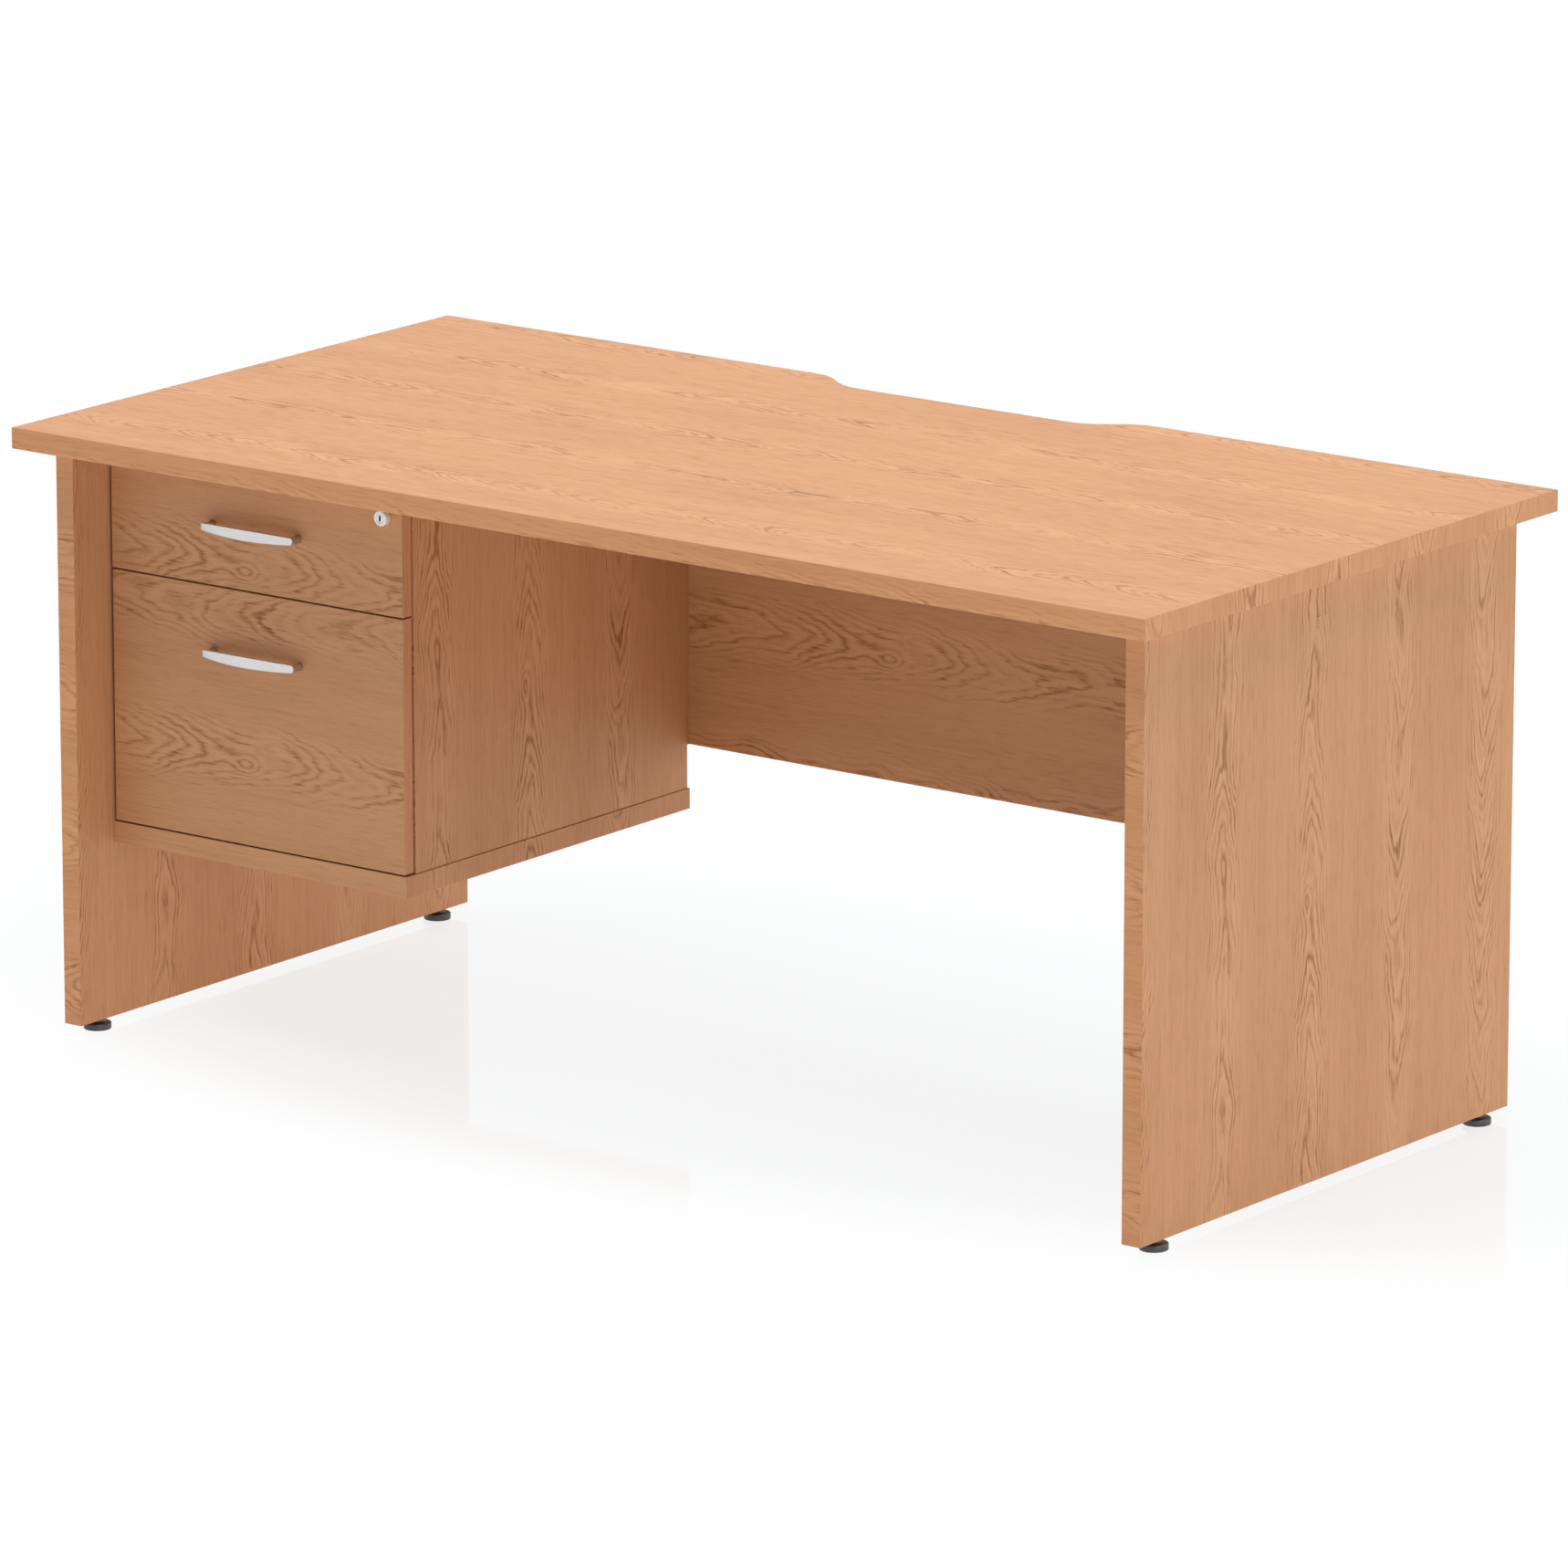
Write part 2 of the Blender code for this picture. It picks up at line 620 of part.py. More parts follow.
def make_runner(name, wall, towards_box, box_bottom, drawer, carriages):
    """Three nested members between a pedestal side and a drawer side, with a ball cage in each race."""
    middle = box_bottom + RUNNER_LIFT + RUNNER_HEIGHT / 2
    members_span = (RUNNER_FRONT, RUNNER_REAR)
    cage_front = (RUNNER_FRONT + RUNNER_REAR - CAGE_LENGTH) / 2
    cage_span = (cage_front, cage_front + CAGE_LENGTH)

    outer_web = SEAT_GAP
    outer_cage_web = outer_web + RUNNER_SHEET + SEAT_GAP
    middle_web = outer_cage_web + CAGE_SHEET + SEAT_GAP
    inner_cage_web = middle_web + RUNNER_SHEET + SEAT_GAP
    inner_web = RUNNER_SPACE
    inner_tips = inner_cage_web + CAGE_SHEET + SEAT_GAP
    tips = inner_web - RUNNER_SHEET - RUNNER_PLAY
    cage_tips = tips - RUNNER_SHEET - CAGE_TIP_SETBACK

    nesting = 2 * (RUNNER_SHEET + RUNNER_RACE)
    cage_nesting = 2 * RUNNER_SHEET + RUNNER_RACE - CAGE_SHEET
    middle_height = RUNNER_HEIGHT - nesting
    inner_height = middle_height - nesting
    outer_cage_height = RUNNER_HEIGHT - cage_nesting
    inner_cage_height = middle_height - cage_nesting

    def channel(part, web, tip, height, sheet, lip, span, parent):
        section = channel_section(
            wall + towards_box * web, wall + towards_box * tip, middle, height, sheet, lip)
        outlined(name + "_runner_" + part, section, UPRIGHT, *span, ZINC, parent)

    channel("outer", outer_web, tips, RUNNER_HEIGHT, RUNNER_SHEET, RUNNER_LIP, members_span, None)
    channel("outer_cage", outer_cage_web, cage_tips, outer_cage_height, CAGE_SHEET, 0.0,
            cage_span, carriages["outer_cage"])
    channel("middle", middle_web, tips, middle_height, RUNNER_SHEET, RUNNER_LIP,
            members_span, carriages["middle"])
    channel("inner_cage", inner_cage_web, cage_tips, inner_cage_height, CAGE_SHEET, 0.0,
            cage_span, carriages["inner_cage"])
    channel("inner", inner_web, inner_tips, inner_height, RUNNER_SHEET, 0.0, members_span, drawer)


def box_side_section(outer, inner, low, high):
    """A drawer side with the groove that takes the edge of the bottom board."""
    groove_low = low + BOTTOM_LIFT
    groove_high = groove_low + BOTTOM_THICKNESS + 2 * SEAT_GAP
    groove = inner + (BOTTOM_GROOVE_DEPTH if outer > inner else -BOTTOM_GROOVE_DEPTH)
    return [
        (outer, low),
        (inner, low),
        (inner, groove_low),
        (groove, groove_low),
        (groove, groove_high),
        (inner, groove_high),
        (inner, high),
        (outer, high),
    ]


def make_drawer_box(name, low, high, drawer):
    """Grooved sides, a back standing on the bottom board, and the bottom board."""
    inner_left = BOX_LEFT + BOX_SIDE_THICKNESS
    inner_right = BOX_RIGHT - BOX_SIDE_THICKNESS
    for side_name, outer, inner in (("left", BOX_LEFT, inner_left), ("right", BOX_RIGHT, inner_right)):
        section = box_side_section(outer, inner, low, high)
        outlined(name + "_" + side_name + "_side", section, UPRIGHT, BOX_FRONT, BOX_REAR,
                 WRAPPED_BOARD, drawer)
    bottom_low = low + BOTTOM_LIFT + SEAT_GAP
    bottom_high = bottom_low + BOTTOM_THICKNESS
    reach = BOTTOM_GROOVE_DEPTH - SEAT_GAP
    board(name + "_back",
          (inner_left + SEAT_GAP, BOX_REAR - BOX_SIDE_THICKNESS, bottom_high + SEAT_GAP),
          (inner_right - SEAT_GAP, BOX_REAR, high), WRAPPED_BOARD, drawer)
    board(name + "_bottom", (inner_left - reach, FRONT_BACK - reach, bottom_low),
          (inner_right + reach, BOX_REAR, bottom_high), HARDBOARD, drawer)
    groove_side = reach + SEAT_GAP
    return ((inner_left - groove_side, FRONT_BACK - groove_side, bottom_low - SEAT_GAP),
            (inner_right + groove_side, FRONT_BACK + CUTTER_OVERRUN, bottom_high + SEAT_GAP))


def make_drawer(name, front_low, front_high, headroom):
    """A drawer: front with its handle, box and runners, all on one slide."""
    box_low = front_low + BOX_LIFT
    box_high = front_high - headroom
    drawer = make_joint_empty(name + "_slide", (DRAWER_MIDDLE, BASE_FRONT, box_low))
    front = board(name + "_front", (FRONT_LEFT, BASE_FRONT, front_low),
                  (FRONT_RIGHT, FRONT_BACK, front_high), OAK, drawer)
    cut_box(front, *make_drawer_box(name, box_low, box_high, drawer))
    make_handle(name + "_handle", front_high - HANDLE_DROP, drawer)
    for side_name, wall, towards_box in (("left", INNER_LEFT, 1), ("right", INNER_RIGHT, -1)):
        runner_name = name + "_" + side_name
        carriages = {
            part: make_joint_empty(runner_name + "_" + part + "_slide", (wall, RUNNER_FRONT, box_low))
            for part in ("outer_cage", "middle", "inner_cage")
        }
        make_runner(runner_name, wall, towards_box, box_low, drawer, carriages)
    make_striker(name + "_striker", lug_top(box_low) + STRIKER_PLAY + STRIKER_FLANGE_RADIUS, drawer)
    return front, drawer


def lug_top(box_low):
    """The top of a drawer's lug on the lock bar, just above that drawer's runner."""
    return box_low + RUNNER_LIFT + RUNNER_HEIGHT + BAR_LUG_CLEARANCE + BAR_LUG_HEIGHT


def make_striker(name, z, drawer):
    """A flanged pin on a drawer side, which a raised lug of the lock bar stands in front of."""
    tip = RUNNER_SPACE / 2
    profile = [
        (0.0, tip),
        (STRIKER_RADIUS, tip),
        (STRIKER_RADIUS, STRIKER_FLANGE_THICKNESS),
        (STRIKER_FLANGE_RADIUS, STRIKER_FLANGE_THICKNESS),
        (STRIKER_FLANGE_RADIUS, 0.0),
        (0.0, 0.0),
    ]
    y = BAR_REAR + BAR_LUG_CLEARANCE + STRIKER_FLANGE_RADIUS
    turned(name, profile, ZINC, (BOX_RIGHT + SEAT_GAP, y, z), drawer, AXIS_TO_RIGHT)


def make_file_rails(name, drawer):
    """Folded steel caps on both drawer sides, which hanging files hook over."""
    high = LOWER_FRONT_TOP - LOWER_BOX_HEADROOM
    for side_name, low_x in (("left", BOX_LEFT), ("right", BOX_RIGHT - BOX_SIDE_THICKNESS)):
        left = low_x - SEAT_GAP
        right = low_x + BOX_SIDE_THICKNESS + SEAT_GAP
        seat = high + SEAT_GAP
        section = [
            (left - FILE_RAIL_SHEET, seat - FILE_RAIL_DROP),
            (left, seat - FILE_RAIL_DROP),
            (left, seat),
            (right, seat),
            (right, seat - FILE_RAIL_DROP),
            (right + FILE_RAIL_SHEET, seat - FILE_RAIL_DROP),
            (right + FILE_RAIL_SHEET, seat + FILE_RAIL_SHEET),
            (left - FILE_RAIL_SHEET, seat + FILE_RAIL_SHEET),
        ]
        rear = BOX_REAR - BOX_SIDE_THICKNESS - SEAT_GAP
        outlined(name + "_" + side_name + "_file_rail", section, UPRIGHT, BOX_FRONT, rear,
                 ZINC, drawer)


def make_lock_barrel(front, drawer):
    """The barrel that stands proud of the drawer front, and its nut behind the front."""
    bore = LOCK_PLUG_RADIUS + SEAT_GAP
    face = LOCK_BARREL_PROJECTION
    seat = SEAT_GAP
    rear = BASE_FRONT - LOCK_NUT_REAR
    profile = [
        (bore, face),
        (LOCK_BARREL_RADIUS - LOCK_BARREL_CHAMFER, face),
        (LOCK_BARREL_RADIUS, face - LOCK_BARREL_CHAMFER),
        (LOCK_BARREL_RADIUS, seat),
        (LOCK_SHANK_RADIUS, seat),
        (LOCK_SHANK_RADIUS, rear),
        (bore, rear),
    ]
    axis = (LOCK_X, BASE_FRONT, LOCK_Z)
    turned("lock_barrel", profile, NICKEL, axis, drawer, AXIS_TO_FRONT, ring=True)
    hole = LOCK_SHANK_RADIUS + SEAT_GAP
    through = FRONT_THICKNESS + 2 * CUTTER_OVERRUN
    cut_hole(front, hole, through, (LOCK_X, BASE_FRONT + FRONT_THICKNESS / 2, LOCK_Z), AXIS_TO_FRONT)
    nut_place = (LOCK_X, BOX_FRONT + LOCK_NUT_THICKNESS / 2, LOCK_Z)
    nut = link_piece("lock_nut", rod_mesh(LOCK_NUT_RADIUS, LOCK_NUT_THICKNESS, LOCK_NUT_SIDES),
                     ZINC, nut_place, drawer, AXIS_TO_FRONT)
    cut_hole(nut, hole, through, nut_place, AXIS_TO_FRONT)


def make_lock_plug(turn):
    """The turning plug: an upright keyway in its face and a square tail behind."""
    face = LOCK_BARREL_PROJECTION
    rear = BASE_FRONT - LOCK_NUT_REAR
    profile = [
        (0.0, face),
        (LOCK_PLUG_RADIUS, face),
        (LOCK_PLUG_RADIUS, rear),
        (0.0, rear),
    ]
    plug = turned("lock_plug", profile, NICKEL, (LOCK_X, BASE_FRONT, LOCK_Z), turn, AXIS_TO_FRONT)
    half_tail = LOCK_TAIL_SIZE / 2
    tail, middle = box_mesh((LOCK_X - half_tail, LOCK_NUT_REAR - CUTTER_OVERRUN, LOCK_Z - half_tail),
                            (LOCK_X + half_tail, CRANK_REAR, LOCK_Z + half_tail))
    combine(plug, hidden_tool(tail, middle), "UNION")
    cut_box(plug,
            (LOCK_X - KEYWAY_WIDTH / 2, LOCK_FACE - CUTTER_OVERRUN, LOCK_Z - KEYWAY_HEIGHT / 2),
            (LOCK_X + KEYWAY_WIDTH / 2, LOCK_FACE + KEYWAY_DEPTH, LOCK_Z + KEYWAY_HEIGHT / 2))


def make_lock_cam(turn):
    """A crank on the plug's tail, with the pin that lifts the lock bar."""
    hub = LOCK_TAIL_SIZE / sqrt(2) + SEAT_GAP + CRANK_RIM
    tip = CRANK_PIN_RADIUS + CRANK_RIM
    arc = [pi / 2 + pi * index / CRANK_ARC_STEPS for index in range(CRANK_ARC_STEPS + 1)]
    points = [(hub * cos(angle), hub * sin(angle)) for angle in arc]
    points += [(CRANK_RADIUS - tip * cos(angle), -tip * sin(angle)) for angle in arc]
    mesh = outline_mesh(points, UPRIGHT, CRANK_FRONT - BASE_FRONT, CRANK_REAR - BASE_FRONT)
    mesh.transform(Matrix.Rotation(-CRANK_REST_ANGLE, 4, "Y"))
    axis = Vector((LOCK_X, BASE_FRONT, LOCK_Z))
    cam = link_piece("lock_cam", mesh, ZINC, axis, turn)
    pin_front = (CRANK_FRONT + CRANK_REAR) / 2
    pin_rear = BAR_REAR - BAR_LUG_CLEARANCE
    pin_place = (LOCK_X + CRANK_RADIUS * cos(CRANK_REST_ANGLE), (pin_front + pin_rear) / 2,
                 LOCK_Z + CRANK_RADIUS * sin(CRANK_REST_ANGLE))
    pin = rod_mesh(CRANK_PIN_RADIUS, pin_rear - pin_front, POST_STEPS)
    combine(cam, hidden_tool(pin, pin_place, AXIS_TO_FRONT), "UNION")
    hole = LOCK_TAIL_SIZE / 2 + SEAT_GAP
    cut_box(cam, (LOCK_X - hole, CRANK_FRONT - CUTTER_OVERRUN, LOCK_Z - hole),
            (LOCK_X + hole, CRANK_REAR + CUTTER_OVERRUN, LOCK_Z + hole))


def make_lock_bar(box_lows):
    """A steel bar that slides in the side's groove, with a lug per drawer and a fork for the crank."""
    near = INNER_RIGHT + SEAT_GAP
    far = INNER_RIGHT + BAR_GROOVE_DEPTH - SEAT_GAP
    pin_z = LOCK_Z + CRANK_RADIUS * sin(CRANK_REST_ANGLE)
    fork_low = pin_z - CRANK_PIN_RADIUS - CRANK_PIN_PLAY
    fork_high = pin_z + CRANK_PIN_RADIUS + CRANK_PIN_PLAY
    teeth = [(lug_top(low) - BAR_LUG_HEIGHT, lug_top(low)) for low in box_lows]
    teeth.append((fork_low - BAR_TOOTH_THICKNESS, fork_low))
    teeth.append((fork_high, fork_high + BAR_TOOTH_THICKNESS))
    points = [(far, CARCASS_BOTTOM), (near, CARCASS_BOTTOM)]
    for low, high in teeth:
        points += [(near, low), (BAR_TIP, low), (BAR_TIP, high), (near, high)]
    points[-1:] = [(far, teeth[-1][1])]
    slide = make_joint_empty("lock_bar_slide", (near, BAR_FRONT, CARCASS_BOTTOM))
    outlined("lock_bar", points, UPRIGHT, BAR_FRONT, BAR_REAR, ZINC, slide)


def make_bar_guides(lower_box_low, upper_box_low):
    """Two plates over the groove that keep the lock bar in, clear of its lugs and the runners."""
    lift = 2 * CRANK_RADIUS * sin(CRANK_TURN / 2)
    lower = lug_top(lower_box_low) + lift + GUIDE_MARGIN
    upper = upper_box_low + RUNNER_LIFT - GUIDE_MARGIN - GUIDE_HEIGHT
    for name, low in (("lower", lower), ("upper", upper)):
        board("lock_bar_" + name + "_guide",
              (INNER_RIGHT - SEAT_GAP - GUIDE_SHEET, BAR_FRONT - BAR_LUG_CLEARANCE, low),
              (INNER_RIGHT - SEAT_GAP, BAR_REAR + GUIDE_MARGIN, low + GUIDE_HEIGHT), ZINC)


def make_lock(front, drawer, box_lows):
    turn = make_joint_empty("lock_turn", (LOCK_X, BASE_FRONT, LOCK_Z), drawer)
    make_lock_barrel(front, drawer)
    make_lock_plug(turn)
    make_lock_cam(turn)
    make_lock_bar(box_lows)
    make_bar_guides(*box_lows)


def main():
    make_desktop()
    make_end_panel("left", -1)
    make_end_panel("right", 1)
    make_modesty_panel()
    make_pedestal()
    lower_front, lower_drawer = make_drawer(
        "lower_drawer", LOWER_FRONT_BOTTOM, LOWER_FRONT_TOP, LOWER_BOX_HEADROOM)
    upper_front, upper_drawer = make_drawer(
        "upper_drawer", UPPER_FRONT_BOTTOM, UPPER_FRONT_TOP, UPPER_BOX_HEADROOM)
    make_file_rails("lower_drawer", lower_drawer)
    make_lock(upper_front, upper_drawer, (LOWER_FRONT_BOTTOM + BOX_LIFT, UPPER_FRONT_BOTTOM + BOX_LIFT))


main()
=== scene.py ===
import json
import math

import bmesh
import bpy
from mathutils import Matrix, Vector


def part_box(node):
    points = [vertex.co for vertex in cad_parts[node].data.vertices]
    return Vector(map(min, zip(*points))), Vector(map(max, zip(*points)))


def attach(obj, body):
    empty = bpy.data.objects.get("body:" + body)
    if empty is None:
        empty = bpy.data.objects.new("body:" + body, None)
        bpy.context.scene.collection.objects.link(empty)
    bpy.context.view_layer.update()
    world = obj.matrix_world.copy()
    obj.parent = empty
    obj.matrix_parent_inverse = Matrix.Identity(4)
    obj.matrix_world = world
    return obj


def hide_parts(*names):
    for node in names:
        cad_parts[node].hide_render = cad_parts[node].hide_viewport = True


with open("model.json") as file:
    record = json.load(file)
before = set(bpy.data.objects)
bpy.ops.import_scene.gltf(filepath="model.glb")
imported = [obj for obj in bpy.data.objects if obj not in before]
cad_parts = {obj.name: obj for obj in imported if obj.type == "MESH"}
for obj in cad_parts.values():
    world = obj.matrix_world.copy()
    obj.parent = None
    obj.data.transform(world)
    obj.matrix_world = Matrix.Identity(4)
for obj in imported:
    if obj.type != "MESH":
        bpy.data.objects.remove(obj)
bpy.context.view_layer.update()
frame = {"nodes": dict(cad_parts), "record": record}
nodes = frame["nodes"]
slotOf = {part["node"]: part["material_slot"] for part in frame["record"]["subparts"]}
scene = bpy.context.scene
scene.view_settings.view_transform = "Standard"
mathNode = "ShaderNodeMath"
vectorNode = "ShaderNodeVectorMath"
mixNode = "ShaderNodeMix"  # takes numbers at sockets 2 and 3, vectors at 4 and 5
rangeNode = "ShaderNodeMapRange"
noiseNode = "ShaderNodeTexNoise"
rampNode = "ShaderNodeValToRGB"
print("frame loaded,", len(nodes), "CAD pieces")


def linear(hexColour):  # sRGB hex to the linear colour that sockets take
    channels = [int(hexColour[i:i + 2], 16) / 255 for i in (1, 3, 5)]
    return [c / 12.92 if c <= 0.04045 else ((c + 0.055) / 1.055) ** 2.4 for c in channels] + [1.0]


def addNode(tree, kind, inputs, **settings):  # an input is a number, a node or a node's socket
    node = tree.nodes.new(kind)
    for name, value in settings.items():
        setattr(node, name, value)
    for key, value in inputs.items():
        if isinstance(value, bpy.types.Node):
            value = value.outputs[0]
        if isinstance(value, bpy.types.NodeSocket):
            tree.links.new(value, node.inputs[key])
        else:
            node.inputs[key].default_value = value
    return node


def setStops(ramp, stops, blend="LINEAR"):  # a stop's colour is a hex value or a grey level
    elements = ramp.color_ramp.elements
    ramp.color_ramp.interpolation = blend
    while len(elements) < len(stops):
        elements.new(0.5)
    for element, (place, colour) in zip(elements, stops):
        element.position = place
        element.color = linear(colour) if isinstance(colour, str) else (colour, colour, colour, 1.0)


def startMaterial(name):
    material = bpy.data.materials.new(name)
    material.use_nodes = True
    tree = material.node_tree
    coords = addNode(tree, "ShaderNodeTexCoord", {})
    place = addNode(tree, vectorNode, {0: coords.outputs["Object"], "Scale": 1000.0},
                    operation="SCALE")  # millimetres from here on
    return material, tree, tree.nodes["Principled BSDF"], place


# camera, found from the photo's desk corners
view = {"place": (7.5708, -9.9634, 3.4779), "turn": 37.18363, "dip": 14.05154, "lens": 258.65}
cameraData = bpy.data.cameras.new("deskCamera")
cameraData.lens = view["lens"]
camera = bpy.data.objects.new("deskCamera", cameraData)
camera.location = view["place"]
camera.rotation_euler = (math.radians(90 - view["dip"]), 0.0, math.radians(view["turn"]))
scene.collection.objects.link(camera)
scene.camera = camera

# soft white studio: even fill from the world, a wide softbox overhead, two weaker ones at the right
studio = {
    "fill": 0.1, "aim": (0.0, 0.0, 0.4),
    "lamps": {
        "overhead": {"place": (0.0, 0.0, 4.6), "size": 5.0, "watts": 285},
        "rightBox": {"place": (7.0, -3.0, 0.9), "size": 1.7, "watts": 67},
        "rightRearBox": {"place": (5.0, 3.2, 1.2), "size": 2.2, "watts": 64},
    },
    # floor: share of plain white, light thrown up, mirror image, and the pool in which shadow shows
    "floor": {"half": 30.0, "colour": "#F4F8FC", "ownWhite": 0.9, "bounce": 0.545,
              "bounceColour": "#F1FAFF", "gloss": 0.12, "glossColour": "#E3EEF5", "glossBlur": 0.06,
              "pool": (0.4, 0.75), "poolShape": (0.5, 1.0, 1.0), "poolShift": (0.0, -0.15, 0.0)},
}
world = bpy.data.worlds.new("studioWorld")
scene.world = world
world.use_nodes = True
worldTree = world.node_tree
worldTree.nodes.clear()
white = linear("#FFFFFF")


def whiteToEye(tree):  # 1 where the eye, a mirror or glass looks straight at it
    path = addNode(tree, "ShaderNodeLightPath", {})
    mirrored = addNode(tree, mathNode, {0: path.outputs["Is Glossy Ray"],
                                        1: path.outputs["Is Transmission Ray"]}, operation="MAXIMUM")
    return addNode(tree, mathNode, {0: path.outputs["Is Camera Ray"], 1: mirrored}, operation="MAXIMUM")


fillLight = addNode(worldTree, "ShaderNodeBackground", {"Color": white, "Strength": studio["fill"]})
backdrop = addNode(worldTree, "ShaderNodeBackground", {"Color": white, "Strength": 1.0})
sky = addNode(worldTree, "ShaderNodeMixShader", {0: whiteToEye(worldTree), 1: fillLight, 2: backdrop})
addNode(worldTree, "ShaderNodeOutputWorld", {0: sky})

for lampName, box in studio["lamps"].items():
    lampData = bpy.data.lights.new(lampName, "AREA")
    lampData.shape = "SQUARE"
    lampData.size = box["size"]
    lampData.energy = box["watts"]
    lamp = bpy.data.objects.new(lampName, lampData)
    lamp.location = box["place"]
    lamp.rotation_euler = (Vector(studio["aim"]) - lamp.location).to_track_quat("-Z", "Y").to_euler()
    scene.collection.objects.link(lamp)

floorLook = studio["floor"]
half = floorLook["half"]
floorMesh = bpy.data.meshes.new("studioFloor")
floorMesh.from_pydata([(-half, -half, 0), (half, -half, 0), (half, half, 0), (-half, half, 0)], [],
                      [(0, 1, 2, 3)])
floorMaterial = bpy.data.materials.new("paleStudioFloor")
floorMaterial.use_nodes = True
floorTree = floorMaterial.node_tree
floorTree.nodes.clear()
floorMatt = addNode(floorTree, "ShaderNodeBsdfDiffuse", {"Color": linear(floorLook["colour"])})
floorWhite = addNode(floorTree, "ShaderNodeEmission", {"Color": white, "Strength": 1.0})
floorBounce = addNode(floorTree, "ShaderNodeEmission", {"Color": linear(floorLook["bounceColour"]),
                                                        "Strength": floorLook["bounce"]})
floorGloss = addNode(floorTree, "ShaderNodeBsdfGlossy", {"Color": linear(floorLook["glossColour"]),
                                                         "Roughness": floorLook["glossBlur"]})
# shadow and mirror image fade out to plain white away from the desk
floorCoords = addNode(floorTree, "ShaderNodeTexCoord", {})
floorSpot = addNode(floorTree, vectorNode, {0: floorCoords.outputs["Object"], 1: floorLook["poolShape"],
                                            2: floorLook["poolShift"]}, operation="MULTIPLY_ADD")
floorFar = addNode(floorTree, vectorNode, {0: floorSpot}, operation="LENGTH")
floorFade = {"Value": floorFar.outputs["Value"], "From Min": floorLook["pool"][0],
             "From Max": floorLook["pool"][1]}
floorOwn = addNode(floorTree, rangeNode, {**floorFade, "To Min": floorLook["ownWhite"], "To Max": 1.0},
                   interpolation_type="SMOOTHSTEP")
floorMirror = addNode(floorTree, rangeNode, {**floorFade, "To Min": floorLook["gloss"], "To Max": 0.0},
                      interpolation_type="SMOOTHSTEP")
floorSeen = whiteToEye(floorTree)
floorShadow = addNode(floorTree, "ShaderNodeMixShader", {0: floorOwn, 1: floorMatt, 2: floorWhite})
floorLit = addNode(floorTree, "ShaderNodeAddShader", {0: floorMatt, 1: floorBounce})
floorBoth = addNode(floorTree, "ShaderNodeMixShader", {0: floorSeen, 1: floorLit, 2: floorShadow})
floorAll = addNode(floorTree, "ShaderNodeMixShader", {0: floorMirror, 1: floorBoth, 2: floorGloss})
addNode(floorTree, "ShaderNodeOutputMaterial", {0: floorAll})
floorMesh.materials.append(floorMaterial)
studioFloor = bpy.data.objects.new("studioFloor", floorMesh)
scene.collection.objects.link(studioFloor)
print("studio set")

# melamine-faced chipboard with an oak print: crown-cut figure in columns, fine pores between them,
# a satin press texture that only shows as a soft break in the gloss; all lengths in mm
oakDecor = {
    "pitch": 169.0,  # from one figure column to the next
    "lean": (0.23, -0.17, -0.24, 0.07),  # which way each column's arches point, and how closely
    "wander": 17.0, "heave": 60.0,  # column sway across, and heart rise along the grain
    "repeat": 640.0, "climb": 96.2,  # the knot's column: length of its repeat, and heart rise in it
    "heart": [(0.0, 0.0), (0.28, 0.21), (0.43, 0.48), (0.6, 0.515), (0.7, 0.73), (0.81, 0.85),
              (1.0, 1.0)],
    "flankHalf": 25.0, "archPoint": 1.6, "flankRise": {"top": 22.0, "end": 19.0, "front": 11.0},
    "narrow": {"top": 1.3, "end": 1.1, "front": 1.0},  # how much slimmer the columns are on a face
    "contrast": {"top": 1.28, "end": 1.2, "front": 1.05},
    "knot": {"side": -12.0, "length": 19.0, "width": 10.0, "rise": 12.0},
    "waver": 8.0, "ring": 6.4, "ringFaint": 0.25, "ringSeed": 0.37,
    "ringEdge": [(0.0, 0.5), (0.18, 1.0), (0.45, 0.35), (0.65, 0.05), (0.85, 0.1), (1.0, 0.5)],
    "fray": 30.0, "figureHalf": 30.0, "figureFade": 66.0, "plainFigure": 0.04, "patchFaint": 0.5,
    "level": 0.56, "figureShade": 0.44, "figureGlow": 0.13, "streakShade": 0.24,
    "poreShade": 0.1, "poreInRing": 0.4, "cloudShade": 0.16,
    "colours": [(0.0, "#8A5B35"), (0.3, "#A97247"), (0.55, "#C18A5F"), (0.8, "#CE996E"),
                (1.0, "#DAA77C")],
    "layers": {  # noise: read per column or over the sheet, size along and across the grain, detail
        "wander": ("column", 120.0, 23.0, 1.0),
        "heave": ("column", 230.0, 23.0, 1.0),
        "patch": ("column", 90.0, 23.0, 1.0),
        "waver": ("sheet", 60.0, 18.0, 3.0),
        "fray": ("sheet", 90.0, 6.0, 3.0),
        "streak": ("sheet", 260.0, 5.0, 3.0),
        "pore": ("sheet", 30.0, 2.0, 1.5),  # real pores are 0.3 mm wide, drawn coarser so they show
        "cloud": ("sheet", 420.0, 60.0, 1.0),
    },
    "noiseApart": 3.7, "noiseRoughness": 0.55,
    "patchRange": (0.3, 0.6), "poreRange": (0.5, 0.72), "glossRange": (0.3, 0.7),
    "roughness": (0.42, 0.54), "specular": 0.25, "poreDepth": 0.00006, "press": 0.5,
    "faceTurn": 0.7,  # how much of a face's normal points along an axis before it counts as facing it
}

